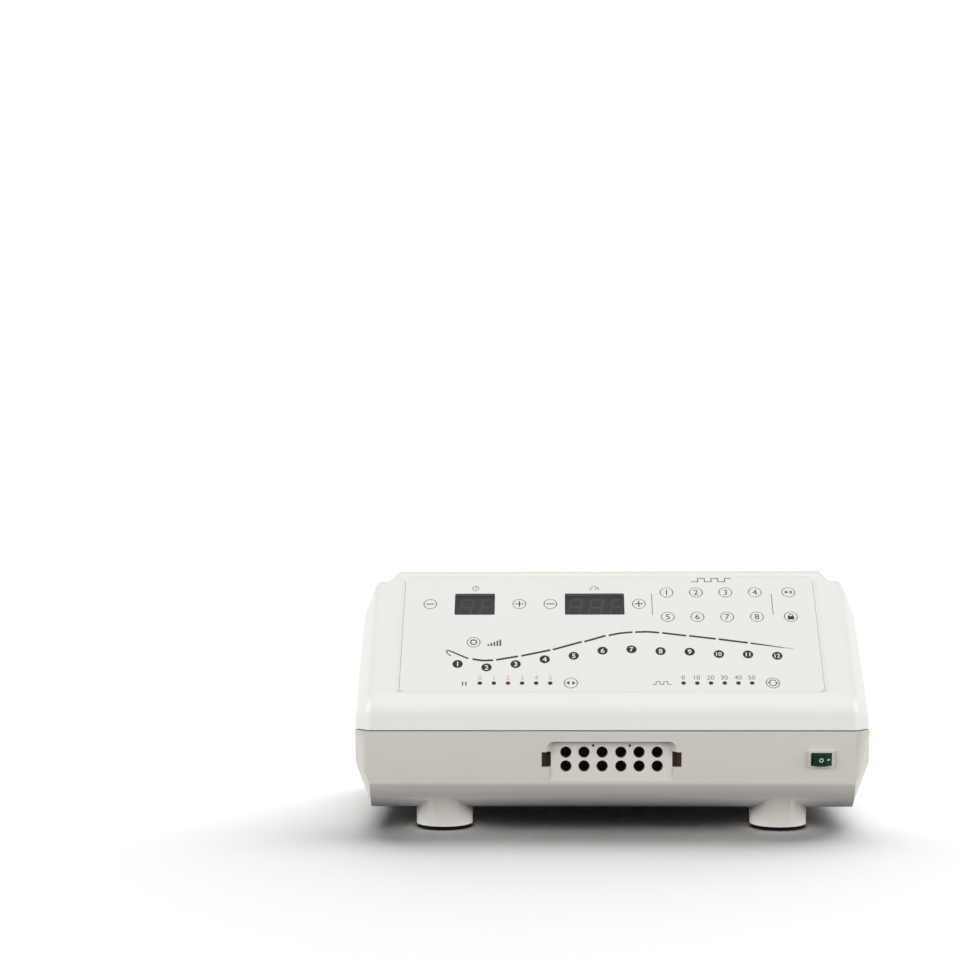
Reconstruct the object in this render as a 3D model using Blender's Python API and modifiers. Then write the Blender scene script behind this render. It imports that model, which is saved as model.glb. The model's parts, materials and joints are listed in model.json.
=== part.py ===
"""Compression therapy pump: the control unit of an air massage system, modelled piece by piece.

Units are metres and +Z is up. The front, with its sloping key panel and its hose sockets, faces -Y.
The origin is under the middle of the unit, on the surface that it stands on.
Depths are measured back from the front of the casing at the seam, and panel places from the middle
of the panel's lower edge.
"""

import math

import bmesh
import bpy
from mathutils import Matrix, Vector

# Casing
BODY_WIDTH = 0.440
BODY_DEPTH = 0.290
WALL = 0.003
CLEARANCE = 0.0003
OVERRUN = 0.004
SEAM_HEIGHT = 0.088
SEAM_GAP = 0.0005
CORNER_CUT = 0.0125
BOTTOM_HEIGHT = 0.0176
FRONT_LEAN = math.radians(9.6)
BOTTOM_RADIUS = 0.024
REAR_BOTTOM_RADIUS = 0.010
SIDE_CUT_HEIGHT = 0.056
SIDE_CUT_RADIUS = 0.008

# The upper casing's front band, sloping face, crest and shoulders
PANEL_SLOPE = math.radians(44.0)
BAND_HEIGHT = 0.1125
BAND_RADIUS = 0.026
CREST_HEIGHT = 0.2178
CREST_RADIUS = 0.008
REAR_TOP_HEIGHT = 0.2052
REAR_TOP_RADIUS = 0.020
SHOULDER_DROP = 0.0085
RAISED_TOP_INSET = 0.033
RAISED_FOOT_INSET = 0.022
WALL_BAND_HEIGHT = 0.100
WALL_CREST_DEPTH = 0.100
WALL_CREST_DROP = 0.0325
WALL_RADIUS = 0.012
FLANK_STEPS = 4
CORNER_STEPS = 5
EDGE_STEPS = 3
EDGE_START_SHARE = 0.6
EDGE_SOFT_SHARE = 0.8
EDGE_CRISP_SHARE = 0.35

# Control panel
PANEL_INSET = 0.0383
PANEL_START = 0.0118
PANEL_TOP_ROOM = 0.0084
PANEL_THICKNESS = 0.003
PANEL_RADIUS = 0.005
LEDGE_WIDTH = 0.002
LEDGE_OUTER = 0.005
LEDGE_SINK = 0.0015
BOARD_DEPTH = 0.0093
BOARD_MARGIN = 0.003
BOARD_THICKNESS = 0.0016

# Keys, all alike
KEY_DIAMETER = 0.0114
KEY_PROUD = 0.0002
KEY_CHAMFER = 0.0004
KEY_FLANGE_DIAMETER = 0.0138
KEY_FLANGE_THICKNESS = 0.0012
KEY_STEM_DIAMETER = 0.004
KEY_TRAVEL = 0.0006
KEY_STEPS = 14
TACT_SIZE = 0.006
TACT_RISE = 0.0023
TACT_SINK = 0.0004

# Where the keys are: shares of the panel's width from its middle, and of its length up the slope
TIME_SHARE = -0.3275
TIME_KEY_SHARE = 0.1090
PRESSURE_SHARE = -0.0349
PRESSURE_KEY_SHARE = 0.1079
PROGRAM_START_SHARE = 0.1417
PROGRAM_PITCH_SHARE = 0.0718
START_KEY_SHARE = 0.4389
HOLD_KEY_SHARE = -0.0947
INTERVAL_KEY_SHARE = 0.3806
DISPLAY_ROW_SHARE = 0.7611
SETTINGS_ROW_SHARE = 0.4209
PROGRAM_UPPER_SHARE = 0.8639
PROGRAM_LOWER_SHARE = 0.6431
BOTTOM_ROW = 0.0092

# Display windows and the digit blocks behind them
TIME_WINDOW_SHARE = 0.0980
PRESSURE_WINDOW_SHARE = 0.1450
WINDOW_HEIGHT = 0.0252
WINDOW_RADIUS = 0.0012
WINDOW_FLANGE = 0.0015
WINDOW_FLANGE_THICKNESS = 0.0010
DIGIT_MARGIN = 0.0020

# Indicator lights
CHAMBER_LIGHT_DIAMETER = 0.0088
CHAMBER_START_SHARE = -0.3641
CHAMBER_PITCH_SHARE = 0.0692
CHAMBER_HEIGHT_SHARES = (
    0.2337, 0.2040, 0.2322, 0.2733, 0.3037, 0.3479, 0.3593, 0.3433, 0.3380, 0.3174, 0.3144, 0.3022,
)
STEP_LIGHT_DIAMETER = 0.0038
HOLD_START_SHARE = -0.3099
HOLD_PITCH_SHARE = 0.0333
INTERVAL_START_SHARE = 0.1709
INTERVAL_PITCH_SHARE = 0.0322
STEP_LIGHT_COUNT = 6
GUIDE_THICKNESS = 0.0014
GUIDE_MARGIN = 0.0012
CHAMBER_LIGHT_STEPS = 12
STEP_LIGHT_STEPS = 8

# Hose pocket and its twelve sockets
POCKET_TOP = 0.0785
POCKET_DEPTH = 0.0075
POCKET_TOP_WIDTH = 0.1124
POCKET_BOTTOM_WIDTH = 0.1052
POCKET_RADIUS = 0.0065
POCKET_WALL = 0.003
PORT_DIAMETER = 0.0097
PORT_BORE_DEPTH = 0.0150
PORT_PITCH = 0.0155
PORT_MIDDLE_GAP = 0.0160
PORTS_A_SIDE = 3
PORT_UPPER_ROW = 0.0688
PORT_LOWER_ROW = 0.0569
PORT_STEPS = 12
SOCKET_LENGTH = 0.0185
SOCKET_FLANGE = 0.0025
SOCKET_FLANGE_THICKNESS = 0.0022
SOCKET_FLANGE_GAP = 0.0012
LATCH_SLOT_INNER = 0.0518
LATCH_SLOT_OUTER = 0.0597
LATCH_SLOT_LOW = 0.0562
LATCH_SLOT_HIGH = 0.0693
PIN_HOLE_DIAMETER = 0.0020
PIN_HOLE_REACH = 0.0157
PIN_HOLE_HEIGHT = 0.0744
PIN_HOLE_DEPTH = 0.0025
PIN_HOLE_STEPS = 8

# Power switch
SWITCH_INSET = 0.042
SWITCH_HEIGHT = 0.0637
BEZEL_WIDTH = 0.0212
BEZEL_HEIGHT = 0.0150
BEZEL_PROUD = 0.0016
BEZEL_RADIUS = 0.0012
HOUSING_WIDTH = 0.0194
HOUSING_HEIGHT = 0.0132
HOUSING_DEPTH = 0.0200
ROCKER_SLOT_WIDTH = 0.0176
ROCKER_SLOT_HEIGHT = 0.0116
ROCKER_SLOT_DEPTH = 0.0110
ROCKER_WIDTH = 0.0160
ROCKER_HEIGHT = 0.0110
ROCKER_RIDGE_REACH = 0.0033
ROCKER_RIDGE_PROUD = 0.0028
ROCKER_END_PROUD = 0.0006
ROCKER_FOOT_WIDTH = 0.0120
ROCKER_FOOT_DEPTH = 0.0075
ROCKER_PIVOT_DEPTH = 0.0040
ROCKER_THROW = math.radians(16.0)

# Feet
FOOT_INSET = 0.0755
FOOT_DEPTH = 0.03925
POD_DIAMETER = 0.0485
POD_JOIN = 0.012
PAD_DIAMETER = 0.0465
PAD_THICKNESS = 0.003
PAD_CHAMFER = 0.0006
POD_STEPS = 28
PAD_STEPS = 24

# Screws and the bosses that they pass through
BOSS_INSET = 0.022
BOSS_DEPTH = 0.040
BOSS_REAR_ROOM = 0.025
BOSS_DIAMETER = 0.011
BOSS_RISE = 0.027
BOSS_RIB = 0.003
SCREW_DIAMETER = 0.0036
SCREW_HEAD_DIAMETER = 0.0074
SCREW_HEAD_THICKNESS = 0.0030
SCREW_HEAD_HEIGHT = 0.050
SCREW_END_HEIGHT = 0.108
SCREW_STEPS = 10
BOSS_STEPS = 12

# Rear vents
VENT_COUNT = 9
VENT_PITCH = 0.011
VENT_WIDTH = 0.004
VENT_INSET = 0.130
VENT_LOW = 0.115
VENT_HIGH = 0.155

# Mains inlet with its pins and fuse drawer
INLET_INSET = 0.070
INLET_HEIGHT = 0.055
INLET_WIDTH = 0.028
INLET_TALL = 0.034
INLET_DEPTH = 0.026
INLET_RADIUS = 0.002
INLET_FLANGE = 0.003
FLANGE_PROUD = 0.0022
PLUG_WIDTH = 0.0244
PLUG_TALL = 0.0165
PLUG_RISE = 0.0060
PLUG_DEPTH = 0.0180
PLUG_CORNER = 0.0045
PIN_WIDTH = 0.0020
PIN_TALL = 0.0040
PIN_REACH = 0.0070
PIN_DROP = 0.0020
PIN_LENGTH = 0.0240
EARTH_RISE = 0.0020
FUSE_WIDTH = 0.0200
FUSE_TALL = 0.0080
FUSE_DEPTH = 0.0220
FUSE_DROP = 0.0098
FUSE_PROUD = 0.0012

# Transformer
TRANSFORMER_INSET = 0.102
TRANSFORMER_REAR_ROOM = 0.100
CORE_WIDTH = 0.066
CORE_TALL = 0.056
CORE_THICKNESS = 0.034
CORE_LEG = 0.011
CORE_YOKE = 0.011
WINDING_OVERHANG = 0.011
WINDING_RADIUS = 0.004

# Main board on its standoffs
MAIN_BOARD_START = 0.060
MAIN_BOARD_REAR_ROOM = 0.019
MAIN_BOARD_SIDE_ROOM = 0.018
MAIN_BOARD_WALL_ROOM = 0.035
STANDOFF_RISE = 0.011
STANDOFF_DIAMETER = 0.008
STANDOFF_INSET = 0.008
CAPACITOR_DIAMETER = 0.022
CAPACITOR_HEIGHT = 0.030
CAPACITOR_INSET = 0.024
COOLER_WIDTH = 0.040
COOLER_DEPTH = 0.012
COOLER_HEIGHT = 0.034
CHIP_SIZE = 0.014
CHIP_HEIGHT = 0.003

# Air compressor
COMPRESSOR_INSET = 0.115
COMPRESSOR_REAR_ROOM = 0.104
COMPRESSOR_WIDTH = 0.130
COMPRESSOR_LENGTH = 0.072
COMPRESSOR_HEIGHT = 0.060
RAIL_HEIGHT = 0.0052
RAIL_WIDTH = 0.009
RAIL_LENGTH = 0.120
RAIL_INSET = 0.010
CHAMBER_WIDTH = 0.090
CHAMBER_LENGTH = 0.056
CHAMBER_DEPTH = 0.052
LID_THICKNESS = 0.003
COIL_WIDTH = 0.044
COIL_LENGTH = 0.050
COIL_HEIGHT = 0.048
COIL_RADIUS = 0.010
ARMATURE_WIDTH = 0.080
ARMATURE_LENGTH = 0.020
ARMATURE_HEIGHT = 0.016
DIAPHRAGM_DIAMETER = 0.040
DIAPHRAGM_THICKNESS = 0.003
FILTER_DIAMETER = 0.018
FILTER_LENGTH = 0.024
FILTER_OFFSET = -0.035
FILTER_HEIGHT = 0.060

# Air distributor, which sends the air to each socket in turn
DISTRIBUTOR_DEPTH = 0.076
DISTRIBUTOR_WIDTH = 0.104
DISTRIBUTOR_LENGTH = 0.040
DISTRIBUTOR_BOTTOM = 0.043
DISTRIBUTOR_HEIGHT = 0.040
PEDESTAL_PLACE = 0.034
PEDESTAL_WIDTH = 0.008
PEDESTAL_LENGTH = 0.036
ROTOR_DIAMETER = 0.034
ROTOR_THICKNESS = 0.0078
ROTOR_SHAFT_DIAMETER = 0.006
ROTOR_SHAFT_RISE = 0.010
ROTOR_KEY_WIDTH = 0.006
MOTOR_DIAMETER = 0.038
MOTOR_HEIGHT = 0.028
MOTOR_PLATE_WIDTH = 0.050
MOTOR_PLATE_THICKNESS = 0.0025
ROTOR_STEPS = 24

# Hoses
TUBE_DIAMETER = 0.0068
TUBE_WEB = 0.0018
TUBE_ARC_STEPS = 4
HOSE_DIAMETER = 0.009
HOSE_HEIGHT = 0.060
HOSE_ENTRY_PLACE = -0.025
HOSE_HANDLE = 0.040
HOSE_STEPS = 20

# Values that follow from the sizes above
HALF_WIDTH = BODY_WIDTH / 2
FRONT_HALF = HALF_WIDTH - CORNER_CUT
FLOOR_TOP = BOTTOM_HEIGHT + WALL
FOOT_PLACE = HALF_WIDTH - FOOT_INSET
REAR_FOOT_DEPTH = BODY_DEPTH - FOOT_DEPTH
BOSS_PLACE = HALF_WIDTH - BOSS_INSET
BOSS_REAR_DEPTH = BODY_DEPTH - BOSS_REAR_ROOM
SWITCH_PLACE = HALF_WIDTH - SWITCH_INSET
INLET_PLACE = HALF_WIDTH - INLET_INSET
VENT_MIDDLE = VENT_INSET - HALF_WIDTH
SWITCH_SETBACK = (SEAM_HEIGHT - SWITCH_HEIGHT) * math.tan(FRONT_LEAN)
ROCKER_REST = ROCKER_THROW / 2
ROCKER_SWING = (
    ROCKER_RIDGE_REACH * math.sin(ROCKER_REST)
    + (ROCKER_RIDGE_PROUD + ROCKER_PIVOT_DEPTH) * math.cos(ROCKER_REST)
    - ROCKER_PIVOT_DEPTH
)
ROCKER_REACH = (BEZEL_PROUD + ROCKER_SWING) * math.cos(FRONT_LEAN) + (
    ROCKER_HEIGHT / 2 * math.sin(FRONT_LEAN)
)
FRONT_REACH = max(ROCKER_REACH - SWITCH_SETBACK, 0)
REAR_REACH = BODY_DEPTH + CLEARANCE + FLANGE_PROUD + FUSE_PROUD
FRONT_Y = (FRONT_REACH - REAR_REACH) / 2
CREST_DEPTH = (CREST_HEIGHT - BAND_HEIGHT) / math.tan(PANEL_SLOPE)
SHOULDER_DEPTH = CREST_DEPTH - SHOULDER_DROP / math.tan(PANEL_SLOPE)
PANEL_WIDTH = BODY_WIDTH - 2 * PANEL_INSET
PANEL_LENGTH = (CREST_HEIGHT - BAND_HEIGHT) / math.sin(PANEL_SLOPE) - PANEL_START - PANEL_TOP_ROOM
TIME_MIDDLE = PANEL_WIDTH * TIME_SHARE
TIME_KEY_REACH = PANEL_WIDTH * TIME_KEY_SHARE
TIME_WINDOW_WIDTH = PANEL_WIDTH * TIME_WINDOW_SHARE
PRESSURE_MIDDLE = PANEL_WIDTH * PRESSURE_SHARE
PRESSURE_KEY_REACH = PANEL_WIDTH * PRESSURE_KEY_SHARE
PRESSURE_WINDOW_WIDTH = PANEL_WIDTH * PRESSURE_WINDOW_SHARE
PROGRAM_START = PANEL_WIDTH * PROGRAM_START_SHARE
PROGRAM_PITCH = PANEL_WIDTH * PROGRAM_PITCH_SHARE
START_KEY_PLACE = PANEL_WIDTH * START_KEY_SHARE
HOLD_KEY_PLACE = PANEL_WIDTH * HOLD_KEY_SHARE
INTERVAL_KEY_PLACE = PANEL_WIDTH * INTERVAL_KEY_SHARE
DISPLAY_ROW = PANEL_LENGTH * DISPLAY_ROW_SHARE
SETTINGS_ROW = PANEL_LENGTH * SETTINGS_ROW_SHARE
PROGRAM_UPPER_ROW = PANEL_LENGTH * PROGRAM_UPPER_SHARE
PROGRAM_LOWER_ROW = PANEL_LENGTH * PROGRAM_LOWER_SHARE
CHAMBER_START = PANEL_WIDTH * CHAMBER_START_SHARE
CHAMBER_PITCH = PANEL_WIDTH * CHAMBER_PITCH_SHARE
HOLD_START = PANEL_WIDTH * HOLD_START_SHARE
HOLD_PITCH = PANEL_WIDTH * HOLD_PITCH_SHARE
INTERVAL_START = PANEL_WIDTH * INTERVAL_START_SHARE
INTERVAL_PITCH = PANEL_WIDTH * INTERVAL_PITCH_SHARE
POCKET_BOTTOM = SEAM_HEIGHT - POCKET_DEPTH / math.tan(FRONT_LEAN)
SOCKET_BACK = POCKET_DEPTH + SOCKET_LENGTH
DISTRIBUTOR_FRONT = DISTRIBUTOR_DEPTH - DISTRIBUTOR_LENGTH / 2
DISTRIBUTOR_BACK = DISTRIBUTOR_DEPTH + DISTRIBUTOR_LENGTH / 2
DISTRIBUTOR_TOP = DISTRIBUTOR_BOTTOM + DISTRIBUTOR_HEIGHT
TRANSFORMER_PLACE = HALF_WIDTH - TRANSFORMER_INSET
TRANSFORMER_DEPTH = BODY_DEPTH - TRANSFORMER_REAR_ROOM
MAIN_BOARD_WIDTH = (
    HALF_WIDTH - MAIN_BOARD_WALL_ROOM - DISTRIBUTOR_WIDTH / 2 - MAIN_BOARD_SIDE_ROOM
)
MAIN_BOARD_PLACE = HALF_WIDTH - MAIN_BOARD_WALL_ROOM - MAIN_BOARD_WIDTH / 2
MAIN_BOARD_LENGTH = (
    TRANSFORMER_DEPTH - WINDING_OVERHANG - MAIN_BOARD_REAR_ROOM - MAIN_BOARD_START
)
MAIN_BOARD_DEPTH = MAIN_BOARD_START + MAIN_BOARD_LENGTH / 2
COMPRESSOR_PLACE = COMPRESSOR_INSET - HALF_WIDTH
COMPRESSOR_DEPTH = BODY_DEPTH - COMPRESSOR_REAR_ROOM
COMPRESSOR_BOTTOM = FLOOR_TOP + CLEARANCE + RAIL_HEIGHT + CLEARANCE
COMPRESSOR_TOP = COMPRESSOR_BOTTOM + COMPRESSOR_HEIGHT
COIL_MIDDLE = COMPRESSOR_TOP - CHAMBER_DEPTH + CLEARANCE + COIL_HEIGHT / 2
RIGHT_ANGLE = math.radians(90)
ROUND_STEPS = 4
SMALL_STEPS = 2

# Frames: local x runs across, y up the face and z straight out of it
PANEL_FRAME = (
    Matrix.Translation((0, FRONT_Y, BAND_HEIGHT))
    @ Matrix.Rotation(PANEL_SLOPE, 4, "X")
    @ Matrix.Translation((0, PANEL_START, 0))
)
FRONT_FRAME = Matrix.Translation((0, FRONT_Y, 0)) @ Matrix.Rotation(RIGHT_ANGLE, 4, "X")
SWITCH_FRAME = (
    Matrix.Translation((SWITCH_PLACE, FRONT_Y + SWITCH_SETBACK, SWITCH_HEIGHT))
    @ Matrix.Rotation(FRONT_LEAN + RIGHT_ANGLE, 4, "X")
)
INLET_FRAME = (
    Matrix.Translation((INLET_PLACE, FRONT_Y + BODY_DEPTH, INLET_HEIGHT))
    @ Matrix.Rotation(math.pi, 4, "Z")
    @ Matrix.Rotation(RIGHT_ANGLE, 4, "X")
)
# Local x runs back, y up and z across to the right
SIDE_FRAME = Matrix.Translation((0, FRONT_Y, 0)) @ Matrix(
    ((0, 0, 1, 0), (1, 0, 0, 0), (0, 1, 0, 0), (0, 0, 0, 1))
)

for thing in list(bpy.data.objects):
    bpy.data.objects.remove(thing, do_unlink=True)

PARTS = bpy.data.collections.new("compression_therapy_pump")
HELPERS = bpy.data.collections.new("cutters_and_joining_shapes")
bpy.context.scene.collection.children.link(PARTS)
bpy.context.scene.collection.children.link(HELPERS)

# Finishes: colour, roughness and metallic value
CASING_WHITE = ((0.83, 0.82, 0.79), 0.42, 0.0)
CASING_GREY = ((0.66, 0.63, 0.59), 0.45, 0.0)
PANEL_WHITE = ((0.80, 0.80, 0.78), 0.38, 0.0)
SMOKED = ((0.07, 0.065, 0.07), 0.18, 0.0)
LAMP_BLACK = ((0.03, 0.03, 0.03), 0.35, 0.0)
LENS_GREY = ((0.25, 0.22, 0.20), 0.3, 0.0)
SOFT_BLACK = ((0.02, 0.02, 0.02), 0.75, 0.0)
SWITCH_BEIGE = ((0.72, 0.70, 0.64), 0.4, 0.0)
ROCKER_GREEN = ((0.02, 0.07, 0.045), 0.3, 0.0)
BOARD_GREEN = ((0.03, 0.18, 0.07), 0.5, 0.0)
STEEL = ((0.55, 0.55, 0.54), 0.35, 1.0)
BRASS = ((0.75, 0.6, 0.3), 0.3, 1.0)
COPPER = ((0.6, 0.25, 0.12), 0.4, 1.0)
ALUMINIUM = ((0.75, 0.75, 0.76), 0.45, 1.0)
CLEAR_GREY = ((0.6, 0.62, 0.62), 0.35, 0.0)


def at(across, depth, height):
    """A place given by its depth behind the front."""
    return Vector((across, FRONT_Y + depth, height))


def smooth_step(share):
    return share * share * (3 - 2 * share)


def corner_arc(before, corner, after, radius, steps):
    """The points of a fillet, from the side that arrives to the side that leaves."""
    corner = Vector(corner)
    if radius == 0:
        return [corner]
    arrive = (Vector(before) - corner).normalized()
    leave = (Vector(after) - corner).normalized()
    half = arrive.angle(leave) / 2
    centre = corner + (arrive + leave).normalized() * (radius / math.sin(half))
    spoke = corner + arrive * (radius / math.tan(half)) - centre
    turn = arrive.y * leave.x - arrive.x * leave.y
    sweep = math.copysign(math.pi - 2 * half, turn)
    return [centre + Matrix.Rotation(sweep * step / steps, 2) @ spoke for step in range(steps + 1)]


def rounded_line(corners, radii, steps):
    """An open line with a fillet at each inner corner."""
    points = [Vector(corners[0])]
    for index, radius in enumerate(radii, start=1):
        points += corner_arc(*corners[index - 1 : index + 2], radius, steps)
    return points + [Vector(corners[-1])]


def rounded_loop(corners, radii, steps):
    """A closed outline with a fillet at each corner."""
    points = []
    for index, radius in enumerate(radii):
        after = corners[(index + 1) % len(corners)]
        points += corner_arc(corners[index - 1], corners[index], after, radius, steps)
    return points


def rectangle(width, height, radius=0.0, middle=(0, 0), steps=ROUND_STEPS):
    across, up = middle
    corners = [
        (across + sign_x * width / 2, up + sign_y * height / 2)
        for sign_x, sign_y in ((-1, -1), (1, -1), (1, 1), (-1, 1))
    ]
    return rounded_loop(corners, [radius] * len(corners), steps)


def circle(radius, steps, middle=(0, 0)):
    return [
        Vector(middle) + Matrix.Rotation(math.tau * step / steps, 2) @ Vector((radius, 0))
        for step in range(steps)
    ]


def paint(piece, finish):
    """Gives a piece a material of its own."""
    colour, roughness, metallic = finish
    material = bpy.data.materials.new(piece.name)
    material.use_nodes = True
    shader = material.node_tree.nodes["Principled BSDF"]
    shader.inputs["Base Color"].default_value = (*colour, 1)
    shader.inputs["Roughness"].default_value = roughness
    shader.inputs["Metallic"].default_value = metallic
    if piece.material_slots:
        piece.material_slots[0].link = "OBJECT"
        piece.material_slots[0].material = material
    else:
        piece.data.materials.append(material)
    return piece


def add_piece(name, data, frame=Matrix.Identity(4)):
    piece = bpy.data.objects.new(name, data)
    piece.matrix_world = frame
    PARTS.objects.link(piece)
    return piece


def add_mesh(name, mesh, frame=Matrix.Identity(4)):
    """Turns a finished bmesh into a piece, with its faces pointing out and its round sides smooth."""
    bmesh.ops.recalc_face_normals(mesh, faces=mesh.faces)
    data = bpy.data.meshes.new(name)
    mesh.to_mesh(data)
    mesh.free()
    data.shade_smooth()
    data.set_sharp_from_angle(angle=math.radians(35))
    return add_piece(name, data, frame)


def as_mesh(curve_piece):
    """Replaces a curve by the mesh that it makes, with its caps welded to its sides."""
    data = bpy.data.meshes.new_from_object(curve_piece)
    mesh = bmesh.new()
    mesh.from_mesh(data)
    bmesh.ops.remove_doubles(mesh, verts=mesh.verts, dist=CLEARANCE / 100)
    name = curve_piece.name
    frame = curve_piece.matrix_world.copy()
    bpy.data.objects.remove(curve_piece, do_unlink=True)
    return add_mesh(name, mesh, frame)


def plate(name, outlines, top, bottom, frame=Matrix.Identity(4)):
    """A flat piece between two heights of a frame. Outlines after the first are holes in it."""
    curve = bpy.data.curves.new(name, "CURVE")
    curve.dimensions = "2D"
    curve.fill_mode = "BOTH"
    curve.extrude = (top - bottom) / 2
    for outline in outlines:
        spline = curve.splines.new("POLY")
        spline.points.add(len(outline) - 1)
        for point, place in zip(spline.points, outline):
            point.co = (*place, 0, 1)
        spline.use_cyclic_u = True
    return as_mesh(add_piece(name, curve, frame @ Matrix.Translation((0, 0, (top + bottom) / 2))))


def box(name, size, middle, frame=Matrix.Identity(4)):
    mesh = bmesh.new()
    bmesh.ops.create_cube(mesh, size=1, matrix=Matrix.Diagonal((*size, 1)))
    return add_mesh(name, mesh, frame @ Matrix.Translation(middle))


def rod(name, diameter, length, start, steps, frame=Matrix.Identity(4)):
    """A cylinder that rises from its start along the frame's z."""
    mesh = bmesh.new()
    bmesh.ops.create_cone(
        mesh,
        cap_ends=True,
        segments=steps,
        radius1=diameter / 2,
        radius2=diameter / 2,
        depth=length,
        matrix=Matrix.Translation((0, 0, length / 2)),
    )
    return add_mesh(name, mesh, frame @ Matrix.Translation(start))


def turned(name, profile, steps, frame=Matrix.Identity(4), data=None):
    """A turned piece about its own z. The profile runs from the top down its outer side."""
    if data is None:
        data = bpy.data.meshes.new(name)
        edges = [(index, index + 1) for index in range(len(profile) - 1)]
        data.from_pydata([(radius, 0, height) for radius, height in profile], edges, [])
        data.materials.append(None)
    piece = add_piece(name, data, frame)
    screw = piece.modifiers.new("Turn", "SCREW")
    screw.steps = steps
    screw.render_steps = steps
    screw.use_merge_vertices = True
    screw.merge_threshold = CLEARANCE / 100
    screw.use_smooth_shade = False
    return piece


def combine(piece, helpers, operation):
    """Joins a group of shapes to a piece, or cuts them out of it."""
    group = bpy.data.collections.new(f"{piece.name}_{operation.lower()}")
    HELPERS.children.link(group)
    for helper in helpers:
        PARTS.objects.unlink(helper)
        group.objects.link(helper)
        helper.hide_render = True
        helper.display_type = "WIRE"
    modifier = piece.modifiers.new(operation.title(), "BOOLEAN")
    modifier.operation = operation
    modifier.operand_type = "COLLECTION"
    modifier.collection = group
    return piece


def join(piece, *helpers):
    return combine(piece, helpers, "UNION")


def cut(piece, *helpers):
    return combine(piece, helpers, "DIFFERENCE")


def casing_shell(name, middle, edge, side, columns_at):
    """A casing's skin lofted across three side profiles on +X, then mirrored and given its wall.

    Each column is its place across, its share of the way from the edge profile to the middle one,
    and its share of the way from the edge profile to the side one.
    """
    mesh = bmesh.new()
    rows = []
    for index, places in enumerate(zip(middle, edge, side)):
        centre_place, edge_place, side_place = places
        row = []
        for across, rise_share, side_share in columns_at(index):
            place = edge_place + (centre_place - edge_place) * rise_share
            place = place + (side_place - edge_place) * side_share
            row.append(mesh.verts.new(at(across, place.x, place.y)))
        rows.append(row)
    for lower, upper in zip(rows, rows[1:]):
        for left in range(len(lower) - 1):
            mesh.faces.new((lower[left], lower[left + 1], upper[left + 1], upper[left]))
    mesh.faces.new([row[-1] for row in rows])
    shell = add_mesh(name, mesh)
    mirror = shell.modifiers.new("Other half", "MIRROR")
    mirror.merge_threshold = CLEARANCE / 100
    wall = shell.modifiers.new("Wall", "SOLIDIFY")
    wall.thickness = WALL
    wall.offset = -1
    wall.use_even_offset = True
    return shell


KEY_PLACES = {
    "key_time_down": (TIME_MIDDLE - TIME_KEY_REACH, DISPLAY_ROW),
    "key_time_up": (TIME_MIDDLE + TIME_KEY_REACH, DISPLAY_ROW),
    "key_pressure_down": (PRESSURE_MIDDLE - PRESSURE_KEY_REACH, DISPLAY_ROW),
    "key_pressure_up": (PRESSURE_MIDDLE + PRESSURE_KEY_REACH, DISPLAY_ROW),
    "key_settings": (TIME_MIDDLE, SETTINGS_ROW),
    "key_hold_time": (HOLD_KEY_PLACE, BOTTOM_ROW),
    "key_interval": (INTERVAL_KEY_PLACE, BOTTOM_ROW),
    "key_start": (START_KEY_PLACE, PROGRAM_UPPER_ROW),
    "key_lock": (START_KEY_PLACE, PROGRAM_LOWER_ROW),
}
for row, letters in ((PROGRAM_UPPER_ROW, "abcd"), (PROGRAM_LOWER_ROW, "efgh")):
    for number, letter in enumerate(letters):
        KEY_PLACES[f"key_program_{letter}"] = (PROGRAM_START + number * PROGRAM_PITCH, row)

WINDOW_PLACES = {
    "time": (TIME_MIDDLE, TIME_WINDOW_WIDTH),
    "pressure": (PRESSURE_MIDDLE, PRESSURE_WINDOW_WIDTH),
}
CHAMBER_PLACES = [
    (CHAMBER_START + number * CHAMBER_PITCH, PANEL_LENGTH * share)
    for number, share in enumerate(CHAMBER_HEIGHT_SHARES)
]
HOLD_PLACES = [(HOLD_START + step * HOLD_PITCH, BOTTOM_ROW) for step in range(STEP_LIGHT_COUNT)]
INTERVAL_PLACES = [
    (INTERVAL_START + step * INTERVAL_PITCH, BOTTOM_ROW) for step in range(STEP_LIGHT_COUNT)
]
PORT_PLACES = [
    (side * (PORT_MIDDLE_GAP / 2 + number * PORT_PITCH), row)
    for row in (PORT_UPPER_ROW, PORT_LOWER_ROW)
    for side in (-1, 1)
    for number in range(PORTS_A_SIDE)
]
FOOT_PLACES = {
    "foot_front_left": (-FOOT_PLACE, FOOT_DEPTH),
    "foot_front_right": (FOOT_PLACE, FOOT_DEPTH),
    "foot_rear_left": (-FOOT_PLACE, REAR_FOOT_DEPTH),
    "foot_rear_right": (FOOT_PLACE, REAR_FOOT_DEPTH),
}
BOSS_PLACES = {
    "casing_screw_front_left": (-BOSS_PLACE, BOSS_DEPTH),
    "casing_screw_front_right": (BOSS_PLACE, BOSS_DEPTH),
    "casing_screw_rear_left": (-BOSS_PLACE, BOSS_REAR_DEPTH),
    "casing_screw_rear_right": (BOSS_PLACE, BOSS_REAR_DEPTH),
}
PANEL_MIDDLE = (0, PANEL_LENGTH / 2)


def panel_outline(margin):
    """The panel's outline, grown or shrunk by a margin."""
    return rectangle(
        PANEL_WIDTH + 2 * margin, PANEL_LENGTH + 2 * margin, PANEL_RADIUS + margin, PANEL_MIDDLE
    )


def casing_trimmer(name, middle_height):
    """A slab that trims a casing's open edge flat."""
    size = (BODY_WIDTH + OVERRUN, BODY_DEPTH + OVERRUN, 2 * OVERRUN)
    return box(name, size, at(0, BODY_DEPTH / 2, middle_height))


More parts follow.
